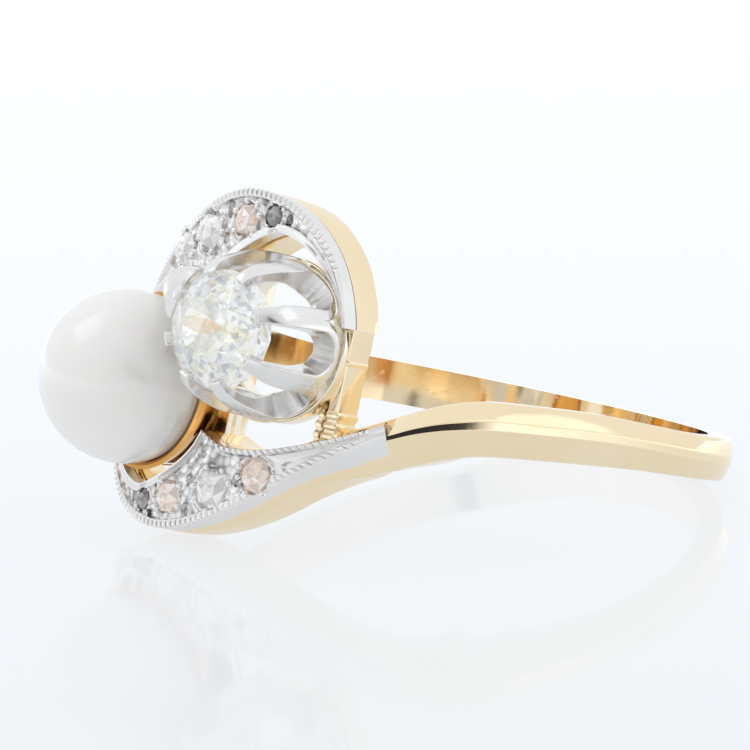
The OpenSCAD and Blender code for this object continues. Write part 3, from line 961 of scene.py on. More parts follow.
@dataclass(frozen=True)
class Shank:
    """The gold: two swept arms, the seats and bar between them, the ties and the pearl's cup.

    Attributes:
        rows: Sections of a shoulder.
        turns: Sections of an arm.
        crisp: How round each corner is along a shoulder, in millimetres.
        soft: How round each corner is along an arm.
        soften: One over the share of an arm's way where its corners turn soft.
        seat_under: Millimetres from the middle of the claw loops down to the seats' tops.
        tie_w: Width of a tie.
        tie_lean: How far a tie's foot lies beside its head.
        tie_hollow: Depth of a tie's hollow blade.
        lip: Height of the cup's round lip.
        groove: Depth of the grooves along the bar.
    """

    rows: int = 200
    turns: int = 160
    crisp: tuple[float, ...] = (0.08, 0.2, 0.1, 0.02, 0.02, 0.02, 0.06, 0.2, 0.25, 0.08, 0.02)
    soft: tuple[float, ...] = (0.1, 0.3, 0.3, 0.3, 0.05, 0.03, 0.5, 0.3, 0.3, 0.1, 0.02)
    soften: float = 12.0
    seat_under: float = 1.15
    tie_w: float = 1.05
    tie_lean: float = 0.5
    tie_hollow: float = 0.16
    lip: float = 0.06
    groove: float = 0.05

    def sweep(self) -> Array:
        """The closed band: sections of one half, then the same turned and in reverse.

        The corners of each section are rounded, the ridge and the sides more than the feet, and what
        lies inside the finger hole is brought out to it.

        Returns:
            Ring points of shape (sections, points, 3).
        """
        shoulder = SHAPE.gold(np.linspace(0.0, LAST, self.rows))
        arm = SHAPE.arm(np.linspace(0.0, 1.0, self.turns))
        near = np.concatenate([shoulder, arm])
        order = [9, 8, 7, 6, 5, 4, 3, 2, 1, 0, 10]
        far = half_turn(near[::-1][1:][:, order])
        soft_share = np.clip(np.linspace(0.0, 1.0, self.turns) * self.soften, 0.0, 1.0)
        along = np.concatenate([np.zeros(self.rows), soft_share])
        weight = np.concatenate([along, along[::-1][1:]])[:, None]
        radii = mix(np.array(self.crisp), np.array(self.soft), weight)
        band = fillet(np.concatenate([near, far]), radii, flats=True)
        radius = np.hypot(band[..., 0], band[..., 1])
        band[..., :2] *= (np.maximum(radius, S.finger_r) / radius)[..., None]
        return band

    def seat_top(self) -> float:
        """Height of the seats' tops, which is the bar's too."""
        return S.loop_up - self.seat_under - S.solder

    def seat(self, inner: float) -> Array:
        """The ring under a gem: a flat band with round edges, open inside the given radius.

        Args:
            inner: Radius of the opening.

        Returns:
            A grid of points that stands on Z.
        """
        top, r = self.seat_top(), S.crown_r - 0.1
        outline = rounded([(r, top), (r, top - S.seat_h), (inner, top - S.seat_h), (inner, top)], 0.08)
        return revolve(outline, 96)

    def cup(self) -> Array:
        """The pearl's bowl: a thin wall round the pearl's lower part, with a bright round rim.

        Returns:
            A grid of points that stands on Z.
        """
        r_in, r_out = S.pearl_r + S.seat_gap, S.pearl_r + S.seat_gap + S.cup_t
        rim, bottom = -S.cup_drop, -0.5 * math.pi + 0.02
        out = np.linspace(bottom, math.asin(rim / r_out), 40)
        back = np.linspace(math.asin(rim / r_in), bottom, 40)
        lip = np.array([[0.5 * (r_in * math.cos(back[0]) + r_out * math.cos(out[-1])), rim + self.lip]])
        outline = np.concatenate([polar(r_out, out), lip, polar(r_in, back)])
        return revolve(outline + [0.0, S.pearl_up], 128)

    def tie(self) -> Array:
        """The tie from a shoulder's tip to the other arm: a leaning bar with a ridge and a hollow blade.

        Returns:
            Ring points of shape (sections, points, 3).
        """
        t = self.tie_w
        x0 = -SHOULDER[0, 2] * S.seam_x - 4 * S.solder
        up0 = float(SHAPE.top(np.array(-x0))) - S.plate_t - 2 * S.solder
        up1 = float(SHAPE.top(np.array(x0 - self.tie_lean))) - S.plate_t - 3 * S.solder
        deep = SHOULDER[0, 6] * S.body_depth - S.plate_t - 4 * S.solder
        foot = float(SHAPE.inner(np.array([LAST - 3.0]))[0, 1]) - 0.3
        head = mix(-SHOULDER[0, 1], -SHOULDER[1, 1], 0.6) * S.head_z
        share = np.linspace(0.0, 1.0, 60)
        x, up, z = mix(x0 - self.tie_lean, x0, share), mix(up1, up0, share), mix(foot, head, share)
        bow = self.tie_hollow * np.sin(math.pi * share)
        corners = [(x - t, up - 0.15), (x - 0.72 * t, up - 0.16 - bow), (x - 0.4 * t, up), (x, up - 0.1),
                   (x, up - deep), (x - t, up - deep)]
        section = np.stack([np.stack([a, -b, z], axis=-1) for a, b in corners], axis=1)
        return fillet(section, np.array([0.05, 0.2, 0.05, 0.08, 0.08, 0.08]))

    def tie_bands(self) -> list[Array]:
        """Raised bands on the tie: one near its head, one below it and four ribs at its foot.

        Returns:
            Ring points of shape (sections, points, 3) for each band.
        """
        bands = []
        whole = self.tie()
        last = len(whole) - 1
        across = np.linspace(-1, 1, 6)
        for share, half, proud in BANDS:
            at = np.linspace(max(share - half, 0.0) * last, min(share + half, 1.0) * last, len(across))
            i = np.floor(at).astype(int)
            f = (at - i)[:, None, None]
            part = whole[i] * (1 - f) + whole[np.minimum(i + 1, last)] * f
            middle = part.mean(axis=1, keepdims=True)
            swell = proud * np.sqrt(np.clip(1 - across**2, 0.02, 1))[:, None, None]
            bands.append(part + unit(part - middle) * swell)
        return bands

    def bar(self) -> Array:
        """The bar between the two shoulders that carries the seats: long grooves along its sides.

        Returns:
            Ring points of shape (sections, points, 3).
        """
        top = self.seat_top()
        reach = -float(SHAPE.inner(np.array([float(CORNER)]))[0, 1]) + 0.6
        w, h, g = S.bar_w / 2, S.bar_h, self.groove
        side = [(w, top), (w - g, top - 0.25 * h), (w, top - 0.4 * h), (w - g, top - 0.65 * h), (w, top - h)]
        outline = rounded(side + [(-x, up) for x, up in side[::-1]], 0.05)
        z = np.linspace(-reach, reach, 24)[:, None]
        return np.stack(np.broadcast_arrays(outline[:, 0], -outline[:, 1], z), axis=-1)

    def build(self, finish: Material, pale: Material, deep: Material) -> None:
        """Makes the gold pieces; the band stands for the CAD shank, with the rest of the gold beside it.

        Args:
            finish: The bright gold of the band and the ties.
            pale: The gold of the seats and the bar, paler as painted light that comes through the stone.
            deep: The gold of the cup, darker and redder as painted shade.
        """
        band = Skin()
        band.grid(self.sweep(), cap=True)
        band.build("gold_band", "yellow_gold", finish, 32.0, ("shank",))
        carrier = Skin()
        carrier.grid(at_diamond(self.seat(S.crown_r - 0.1 - S.seat_t)), wrap_u=True)
        carrier.grid(at_pearl(self.seat(S.pearl_seat_r)), wrap_u=True)
        carrier.grid(self.bar(), cap=True)
        # Paler gold here paints the light that comes through the stone.
        carrier.build("gem_seats", "yellow_gold", pale, 40.0)
        ties = Skin()
        for part in [self.tie(), *self.tie_bands()]:
            ties.grid(part, cap=True)
            ties.grid(half_turn(part), cap=True)
        ties.build("shoulder_ties", "yellow_gold", finish, 30.0)
        cup = Skin()
        cup.grid(at_pearl(self.cup()), wrap_u=True)
        # Darker gold here paints the shade inside the cup.
        cup.build("pearl_cup", "yellow_gold", deep, 40.0)


@dataclass(frozen=True)
class Plate:
    """A platinum plate: milgrain along its long edges, a lowered floor, cut cells and grains.

    Attributes:
        rows: Sections from tip to seam.
        rim: Width of a milgrained rim.
        grain: Pitch of the milgrain.
        crescent: Width of the plain strip along the crescent.
        tall_in: Height of the inner edge's milgrain.
        tall_out: Height of the outer edge's milgrain.
        skew: How far the inner edge's milgrain leans, in millimetres along it for each across it.
        wall: Width of the step from a rim down to the floor.
        pit: Width of the step down into a stone's pit.
        pit_deep: Depth of a pit under the floor.
        lip: Distance of the thin raised lip from a stone.
        lip_wide: Half width of the lip.
        lip_tall: Height of the lip.
        cell_deep: Factor on the depths of the cut cells.
        groove: Depth of the long groove towards the seam.
        groove_row: Row number where the groove starts.
        plain_row: Row number from which the floor isn't engraved.
        edge_drop: How far the face's outermost points lie under its nominal top.
    """

    rows: int = 900
    rim: float = 0.28
    grain: float = 0.26
    crescent: float = 0.3
    tall_in: float = 0.17
    tall_out: float = 0.15
    skew: float = 0.5
    wall: float = 0.07
    pit: float = 0.06
    pit_deep: float = 0.22
    lip: float = 0.12
    lip_wide: float = 0.06
    lip_tall: float = 0.08
    cell_deep: float = 1.5
    groove: float = 0.10
    groove_row: float = 14.6
    plain_row: float = 15.2
    edge_drop: float = 0.03

    def rims(self, u: Array, wide: Array) -> tuple[Array, Array]:
        """Widths of the inner and the outer rim; the crescent's plain strip is broader."""
        inner = np.where(u < CORNER, self.crescent, self.rim)
        return np.minimum(inner, 0.34 * wide), np.minimum(self.rim, 0.34 * wide)

    @staticmethod
    def length(edge: Array) -> Array:
        """Distance along an edge, from its first point."""
        return np.concatenate([[0.0], np.cumsum(np.linalg.norm(np.diff(edge, axis=0), axis=1))])

    def milgrain(self, distance: Array, width: Array, along: Array, tall: float) -> Array:
        """Heights of a row of grains along an edge.

        They are tall * dome(2 distance / width - 1) * (dome(turn)^0.8 - 0.75), where turn runs from -1 to
        1 over each grain.

        Args:
            distance: Distance from the edge.
            width: Width of the rim.
            along: Length along the edge.
            tall: Height of a grain.

        Returns:
            Heights in millimetres.
        """
        turn = 2 * np.mod(along / self.grain, 1.0) - 1
        return tall * dome(2 * distance / width - 1) * (dome(turn) ** 0.8 - 0.75)

    def relief(self, u: Array, places: Array, share: Array, lengths: tuple[Array, Array],
               rims: tuple[Array, Array], wide: Array) -> Array:
        """Height of the plate's face over its nominal top.

        Each rim is a low round ridge cut across into grains. Between the rims the floor lies deeper, with
        a pit and a thin lip round each stone, cut cells between the stones, and a long groove towards the
        seam.

        Args:
            u: Row numbers, a column.
            places: Places across and along the finger.
            share: Distance from the inner edge in millimetres.
            lengths: Lengths along the inner and the outer edge, columns.
            rims: Widths of the inner and the outer rim, columns.
            wide: Width of the plate, a column.

        Returns:
            Heights in millimetres.
        """
        x, z, (a, b) = places[..., 0], places[..., 1], rims
        from_out = wide - share
        depth = S.rim_h * ease((wide - a - b) / 0.4)
        height = -depth * ease((share - a) / self.wall) * ease((from_out - b) / self.wall)
        fade_in = ease((u - CORNER - 0.05) / 0.3) * ease((LAST - 0.4 - u) / 0.6)
        fade_out = ease((u - 3.0) / 1.0) * ease((LAST - 0.7 - u) / 0.6)
        height = height + self.milgrain(share, a, lengths[0] + self.skew * share, self.tall_in) * fade_in
        height = height + self.milgrain(from_out, b, lengths[1], self.tall_out) * fade_out
        height = height - 0.05 * (u < CORNER) * ease((a - share) / np.maximum(a, 1e-6))
        for row in ROSES:
            d = np.hypot((x - row[0] * S.seam_x) * 1.04, z - row[1] * S.head_z)
            r = row[2] * S.rose_d / 2
            pit = ease((r + self.pit - d) / self.pit)
            lip = np.exp(-(((d - r - self.lip) / self.lip_wide) ** 2))
            height = mix(height, -S.rim_h - self.pit_deep, pit) + self.lip_tall * lip * (height < -0.02)
        inside = (depth > 0.01) * ease((share - a) / 0.05) * ease((from_out - b) / 0.05)
        for cx, cz, rx, rz, deep in CELLS:
            q = ((x - cx * S.seam_x) / rx) ** 2 + ((z - cz * S.head_z) / rz) ** 2
            height = height - self.cell_deep * deep * ease((1.2 - q) / 0.4) * inside
        middle, half = 0.5 * (a + wide - b), np.maximum(0.5 * (wide - a - b), 0.02)
        groove = ease((u - self.groove_row) / 0.5) * ease((LAST - 0.35 - u) / 0.6)
        return height - self.groove * groove * np.clip(1 - np.abs(share - middle) / half, 0.0, 1.0)

    def surface(self) -> tuple[Array, Array]:
        """The whole plate as a closed band of sections: face, outer wall, underside and inner wall.

        Returns:
            The points, and how far each is engraved.
        """
        u = np.unique(np.concatenate([np.linspace(0.0, LAST - 2 * S.solder, self.rows), [float(CORNER)]]))
        inner, outer = SHAPE.inner(u), SHAPE.outer(u)
        lengths = self.length(inner)[:, None], self.length(outer)[:, None]
        wide = np.linalg.norm(outer - inner, axis=1)[:, None]
        across = (outer - inner) / wide
        slant, u = SHAPE.slant(u)[:, None], u[:, None]
        a, b = self.rims(u, wide)
        edge, floor = np.linspace(0.0, 1.0, 8), np.linspace(0.0, 1.0, 34)[1:-1]
        share = np.concatenate([a * edge, a + (wide - a - b) * floor, wide - b * edge[::-1]], axis=1)
        places = inner[:, None] + across[:, None] * share[..., None]
        height = self.relief(u, places, share, lengths, (a, b), wide)
        height[:, [0, -1]] = -self.edge_drop
        face = SHAPE.lift(places, -height, slant)
        spread = spline(SHOULDER, 0, LAST, u[:, 0])[:, 5:6] * S.band_w * PLATE_SPREAD
        foot = outer + SHAPE.spread_way(u[:, 0]) * spread
        drop = np.array([0.06, 0.35, 0.7, 1.0])
        wall = SHAPE.lift(outer[:, None] + (foot - outer)[:, None] * drop[None, :, None],
                          np.broadcast_to(S.plate_t * drop, (len(u), 4)), slant)
        flat = np.stack([mix(foot, inner, 0.5), inner], axis=1)
        under = SHAPE.lift(flat, np.full((len(u), 2), S.plate_t), slant)
        rise = SHAPE.lift(np.repeat(inner[:, None], 2, axis=1), np.broadcast_to([0.25, 0.06], (len(u), 2)),
                          slant)
        rows = np.concatenate([face, wall, under, rise], axis=1)
        cut = np.zeros(rows.shape[:2])
        inside = ease((share - a) / 0.06) * ease((wide - b - share) / 0.06)
        fade = ease((self.plain_row - u) / 0.8) * ease((wide - a - b) / 0.3)
        cut[:, :share.shape[1]] = inside * fade
        return rows, cut

    def prongs(self) -> Array:
        """Small grains raised round the stones to hold them.

        Returns:
            Ring points of shape (grains, rings, points, 3).
        """
        places, radii = [], []
        for k, row in enumerate(ROSES):
            for step, size in GRAINS:
                turn, reach = math.radians(step + 17 * k), row[2] * S.rose_d / 2 + 0.7 * size
                places.append(row[:2] * [S.seam_x, S.head_z] + polar(reach, turn))
                radii.append(size * (0.7 if row[2] < 0.6 else 1.0))
        spots = np.array(places)
        base = SHAPE.lift(spots, np.full(len(spots), S.rim_h), np.zeros(len(spots)))
        up = unit(np.column_stack([base[:, 0] + S.shoulder_lean, base[:, 1], np.zeros(len(base))]))
        return bead(base, np.array(radii), up)

    def build(self, finish: Material) -> None:
        """Makes the lower plate and, half a turn on, the upper one.

        Args:
            finish: The engraved platinum.
        """
        (surface, cut), prongs = self.surface(), self.prongs()
        for name, turned in (("lower", False), ("upper", True)):
            skin = Skin()
            skin.grid(half_turn(surface) if turned else surface, cap=True, cut=cut)
            for grains in prongs:
                skin.grid(half_turn(grains) if turned else grains, cap=True)
            skin.build(f"plate_{name}_milgrained", "platinum", finish, 38.0, (f"plate_{name}",))


# The claw setting's outer wall up a claw: way along it, radius, height, thickness, half of a claw's width.
CLAW = np.array([
    [11.40, 2.78, 11.40, 0.80, 0.400],
    [11.80, 2.92, 11.80, 0.92, 0.400],
    [12.30, 3.00, 12.30, 0.94, 0.400],
    [12.80, 3.00, 12.80, 0.82, 0.400],
    [13.40, 2.94, 13.39, 0.60, 0.395],
    [13.90, 2.85, 13.88, 0.50, 0.385],
    [14.25, 2.76, 14.22, 0.46, 0.370],
    [14.52, 2.66, 14.48, 0.44, 0.345],
    [14.78, 2.52, 14.72, 0.40, 0.300],
    [15.00, 2.36, 14.90, 0.38, 0.280],
    [15.22, 2.18, 15.04, 0.36, 0.270],
    [15.40, 2.03, 15.14, 0.33, 0.265],
])


@dataclass(frozen=True)
class ClawSetting:
    """The diamond's setting: eight open loops whose legs meet in pairs and bend over the girdle.

    Attributes:
        claws: Number of claws and of loops.
        phase: Turn of the first loop.
        below: How far the loops' ellipse reaches down from the middle height.
        beside: How far it reaches to the sides.
        belly: How far a claw's outer face swells.
        nose: Length of a claw's round end.
        turn_oval: Height over which the round wall becomes the diamond's oval.
        leaf_from: Degrees round the setting where the leaf starts.
        leaf_to: Degrees where it ends.
        leaf_r: Radius of the leaf's inner edge.
        leaf_w: Width of the leaf at its middle, past its narrow ends.
        leaf_end: Width of those ends.
    """

    claws: int = 8
    phase: float = math.radians(-2.4)
    below: float = 1.12
    beside: float = 1.2
    belly: float = 0.03
    nose: float = 0.1
    turn_oval: float = 1.8
    leaf_from: float = 134.0
    leaf_to: float = 181.0
    leaf_r: float = 2.42
    leaf_w: float = 1.12
    leaf_end: float = 0.12

    def outline(self) -> tuple[Array, Array]:
        """The opening's edge and the metal's outer boundary, round one loop from claw tip to claw tip.

        Both are places on the unrolled wall: across it, and the way up it. The edge is straight up the
        claws and a half circle below; the boundary is the claws' middle line above, and below it the
        ellipse that parts from the next loop in a notch.

        Returns:
            Two arrays of shape (samples, 2).
        """
        top, half = CLAW[-1, 0], math.pi / self.claws * S.crown_r
        nose = top - self.nose * (1 - np.cos(np.linspace(0.0, 0.5 * math.pi, 9)))
        leg = np.concatenate([nose[:-1], np.linspace(top - self.nose, S.loop_up, 46)])
        rows = self.wall(leg)
        end = dome(np.clip((leg - top + self.nose) / self.nose, 0.0, 1.0))
        wide = rows[:, 4] * np.maximum(end, 0.03) * S.crown_r / rows[:, 1]
        near = np.column_stack([half - wide, leg])
        far = np.column_stack([np.full(len(leg), half), leg])
        turn = np.linspace(0.0, math.pi, 50)[1:-1]
        c, s = np.cos(turn), np.sin(turn)
        reach = 1.0 / np.hypot(c / self.beside, s / self.below)
        reach = np.minimum(reach, half / np.maximum(np.abs(c), 1e-6))
        gap = near[-1, 0]
        arc_near = np.column_stack([gap * c, S.loop_up - gap * s])
        arc_far = np.column_stack([reach * c, S.loop_up - reach * s])
        flip = np.array([-1.0, 1.0])
        return (np.concatenate([near, arc_near, (near * flip)[::-1]]),
                np.concatenate([far, arc_far, (far * flip)[::-1]]))

    @staticmethod
    def wall(way: Array, shift: float = 0.0) -> Array:
        """Rows of the CLAW table at ways up the wall, moved on by a share of a row.

        Args:
            way: Ways up the wall.
            shift: How far the rows are moved on.

        Returns:
            The table's columns at each way, along a new last axis.
        """
        last = len(CLAW) - 1
        row = np.interp(way.ravel(), CLAW[:, 0], np.arange(len(CLAW))) + shift
        return spline(CLAW, 0, last, np.clip(row, 0.0, last)).reshape(way.shape + (CLAW.shape[1],))

    def loop(self, turn: float) -> Array:
        """One loop at a turn about the setting's axis, as a closed band of sections.

        A section runs over the outer face, which swells towards the claw's middle line, and back along
        the inner face. The wall follows the round below and the diamond's oval above.

        Args:
            turn: Radians round the setting.

        Returns:
            Points that stand on Z, shape (sections, points, 3).
        """
        edge, bound = self.outline()
        top = CLAW[-1, 0]
        low = ease((S.loop_up + 0.1 - edge[:, 1]) / 0.5)[:, None]
        share = np.array([0.0, 0.0, 0.25, 0.5, 0.75, 1.0, 1.0, 0.5])
        inside = np.array([1.0, 0.0, 0.0, 0.0, 0.0, 0.0, 1.0, 1.0])
        place = edge[:, None] + (bound - edge)[:, None] * share[None, :, None]
        middle = mix(1.0, 0.5, low)
        swell = self.belly * (1 - ((share[None] - middle) / middle) ** 2)
        values = self.wall(place[..., 1])
        ahead = unit((self.wall(place[..., 1], 0.02) - self.wall(place[..., 1], -0.02))[..., 1:3])
        end = dome(np.clip((place[..., 1] - top + self.nose) / self.nose, 0.0, 1.0))
        thick = values[..., 3] * np.maximum(end, 0.1)
        push = swell * (1 - inside) - thick * inside - 0.5 * (values[..., 3] - thick) * (1 - inside)
        r = values[..., 1] + ahead[..., 1] * push
        up = values[..., 2] - ahead[..., 0] * push
        angle = place[..., 0] / S.crown_r + turn
        mean = 0.5 * (S.girdle_r + S.girdle_wide)
        oval = 1.0 / np.hypot(np.cos(angle) / S.girdle_wide, np.sin(angle) / S.girdle_r) / mean
        r = r * mix(1.0, oval, ease((place[..., 1] - S.loop_up) / self.turn_oval))
        section = polar(r, angle, up)
        radii = np.tile([0.08, 0.045, 0.1, 0.1, 0.1, 0.0, 0.0, 0.1], (len(section), 1))
        radii[:, 5:7] = 0.1 * low + 0.004
        return fillet(section, radii, 2, flats=True)

    def leaf(self) -> Array:
        """The pointed platinum leaf beside the claw next to the upper plate's tip, as a closed band.

        Returns:
            Points that stand on Z, shape (sections, points, 3).
        """
        share = np.linspace(0.0, 1.0, 25)
        turn = np.radians(mix(self.leaf_from, self.leaf_to, share))
        near = np.full(len(share), self.leaf_r)
        far = near + self.leaf_end + self.leaf_w * np.sin(math.pi * share**1.25) ** 0.7
        sides = ((near, 14.62), (mix(near, far, 0.45), 14.66), (far, 14.22), (far, 14.0), (near, 14.1))
        section = np.stack([polar(r, turn, up) for r, up in sides], axis=1)
        return fillet(section, np.array([0.05, 0.02, 0.06, 0.05, 0.05]), 2, flats=True)

    def build(self, finish: Material) -> None:
        """Makes the setting and stands it on the gold seat.

        Args:
            finish: The platinum.
        """
        skin = Skin()
        parts = [self.loop(self.phase + 2 * math.pi * k / self.claws) for k in range(self.claws)]
        for part in [*parts, self.leaf()]:
            skin.grid(at_diamond(part), cap=True)
        skin.build("claw_loops", "platinum", finish, 50.0, ("claw_setting",))


@dataclass(frozen=True)
class Pearl:
    """The pearl: a ball that isn't quite even.

    Attributes:
        rings: Rings of points.
        sides: Points of each ring.
        sunk: How far its radius sinks at most, as a share.
    """

    rings: int = 90
    sides: int = 180
    sunk: float = 0.006

    def build(self, finish: Material) -> None:
        """Makes the pearl; its radius sinks in slow waves.

        Args:
            finish: The nacre.
        """
        rise = np.linspace(-0.5 * math.pi, 0.5 * math.pi, self.rings + 2)[1:-1][:, None]
        turn = np.linspace(0.0, 2 * math.pi, self.sides, endpoint=False)[None]
        r = S.pearl_r * (1 - self.sunk * (1 + np.sin(2 * turn + 1.0) * np.cos(rise) ** 2) / 2)
        ball = polar(r * np.cos(rise), turn, r * np.sin(rise) + S.pearl_up)
        skin = Skin()
        skin.grid(at_pearl(ball), cap=True)
        skin.build("lustrous_pearl", "pearl", finish, None, ("pearl",)).data.shade_smooth()


@dataclass(frozen=True)
class OldCut:
    """An old cut diamond: small table, high crown, stubby lower facets and a flat culet.

    Attributes:
        table: Radius of the table, of the girdle's radius like all that follow.
        table_h: Height of the table.
        star: Radius of the corners between the star and the main facets.
        girdle_h: Half height of the girdle.
        lower: Radius of the corners between the lower facets.
        culet: Radius of the culet.
        pavilion: Depth of the culet.
    """

    table: float = 0.50
    table_h: float = 0.38
    star: float = 0.76
    girdle_h: float = 0.03
    lower: float = 0.42
    culet: float = 0.09
    pavilion: float = 0.88

    def build(self, finish: Material) -> None:
        """Makes the stone from rings of corners, each placed so that the main facets are flat.

        Args:
            finish: The diamond.
        """
        r, n = S.girdle_r, 8

        def ring(radius: float, height: float, offset: float, count: int = n) -> Array:
            """Corners at a radius and a height, both shares of the girdle's radius."""
            turn = 2 * math.pi * (np.arange(count) + offset) / count
            return r * polar(radius, turn, height)

        c8 = math.cos(math.pi / n)
        crown, deep_part = self.table_h - self.girdle_h, self.pavilion - self.girdle_h
        star_h = self.girdle_h + crown * (1 - self.star * c8) / (1 - self.table)
        low_h = -self.girdle_h - deep_part * (1 - self.lower * c8) / (1 - self.culet * c8)
        points = np.concatenate([
            ring(self.table, self.table_h, 0.0), ring(self.star, star_h, 0.5),
            ring(1.0, self.girdle_h, 0.0, 16), ring(1.0, -self.girdle_h, 0.0, 16),
            ring(self.lower, low_h, 0.5), ring(self.culet, -self.pavilion, 0.5)])
        table, star, top, low, deep, culet = 0, 8, 16, 32, 48, 56
        faces = [[table + i for i in range(n)], [culet + i for i in range(n)]]
        for i in range(n):
            j, before = (i + 1) % n, (i - 1) % n
            faces.append([table + i, star + before, top + 2 * i, star + i])
            faces.append([table + i, star + i, table + j])
            faces.append([star + i, top + 2 * i, top + 2 * i + 1])
            faces.append([star + i, top + 2 * i + 1, top + (2 * i + 2) % 16])
            faces.append([culet + before, culet + i, deep + i, low + 2 * i, deep + before])
            faces.append([deep + i, low + 2 * i, low + 2 * i + 1])
            faces.append([deep + i, low + 2 * i + 1, low + (2 * i + 2) % 16])
        for i in range(16):
            j = (i + 1) % 16
            faces.append([top + i, top + j, low + j, low + i])
        skin = Skin()
        points = points * [S.girdle_wide / S.girdle_r, 1.0, 1.0] + [0.0, 0.0, S.girdle_up]
        skin.facets(at_diamond(points), faces)
        skin.build("old_cut_stone", "diamond", finish, None, ("diamond",))


@dataclass(frozen=True)
class RoseCuts:
    """The plates' small stones: rose cuts with a few broad facets, none quite even.

    Attributes:
        sides: Corners of the girdle.
        uneven: How far the upper corners stray, as a share of their radius.
    """

    sides: int = 6
    uneven: float = 0.09

    def stone(self, k: int) -> tuple[Array, list[list[int]]]:
        """One stone that stands on Z: flat back, girdle, two rings of facets and a table.

        Args:
            k: The stone's number on its plate, from 0.

        Returns:
            Its corners and its facets.
        """
        d = ROSES[k, 2] * S.rose_d
        n = self.sides
        sway = (np.sin(np.arange(4 * n) * 2.4 + 1.7 * k) * self.uneven).reshape(4, n)

        def ring(radius: float, height: float, offset: float, part: int) -> Array:
            """Corners at a radius of the girdle's and a height; part picks how uneven they are.

            Args:
                radius: Share of the girdle's radius.
                height: Millimetres over the girdle.
                offset: Turn, in steps between corners.
                part: 0 for an even ring, or a row of sway.

            Returns:
                A corner in each row.
            """
            turn = 2 * math.pi * (np.arange(n) + offset + 2 * sway[part]) / n
            spread = 0.5 * d * radius * (1 + sway[part] * (part > 0))
            return polar(spread, turn, height)

        sink = S.plate_t - S.rim_h - 2 * S.solder
        points = np.concatenate([ring(0.8, -sink, 0.0, 0), ring(1.02, 0.0, 0.0, 0),
                                 ring(0.66, 0.19 * d, 0.5, 1), ring(0.24, 0.27 * d, 0.0, 2)])
        faces = [list(range(n)), [3 * n + i for i in range(n)]]
        for i in range(n):
            j = (i + 1) % n
            faces.append([i, j, n + j, n + i])
            faces.append([n + i, n + j, 2 * n + i])
            faces.append([n + j, 2 * n + i, 2 * n + j])
            faces.append([2 * n + i, 2 * n + j, 3 * n + j])
            faces.append([2 * n + i, 3 * n + i, 3 * n + j])
        return points, faces

    def place(self, points: Array, k: int) -> Array:
        """Sets a stone's points over its place on the lower plate, square to the round top.

        Args:
            points: Points that stand on Z.
            k: The stone's number on its plate, from 0.

        Returns:
            Ring points.
        """
        x, z = ROSES[k, 0] * S.seam_x, ROSES[k, 1] * S.head_z
        top = float(SHAPE.top(np.array(x)))
        turn = math.atan2(x, top)
        c, s = math.cos(turn), math.sin(turn)
        out, side = np.array([s, -c, 0.0]), np.array([c, s, 0.0])
        base = np.array([x, -(top - S.rim_h), z])
        return base + points[:, :1] * side + points[:, 1:2] * np.array([0.0, 0.0, 1.0]) + points[:, 2:] * out

    def build(self, finishes: dict[Finish, Material]) -> None:
        """Makes the eight stones, each with its set of tints, which paint the facets' reflections.

        Args:
            finishes: Every finish.
        """
        # Each plate's stones take their painted reflection tints from these sets.
        tints = {"lower": (Finish.ROSE_WARM, Finish.ROSE_CLEAR, Finish.ROSE_WARM, Finish.ROSE_SMOKE),
                 "upper": (Finish.ROSE_CLEAR, Finish.ROSE_CLEAR, Finish.ROSE_WARM, Finish.ROSE_SMOKE)}
        for name, row in tints.items():
            for k, tint in enumerate(row):
                points, faces = self.stone(k)
                placed = self.place(points, k)
                skin = Skin()
                skin.facets(half_turn(placed) if name == "upper" else placed, faces)
                skin.build(f"rose_cut_{name}_{k + 1}", "rose_diamond", finishes[tint], None,
                           (f"rose_{name}_{k + 1}",))


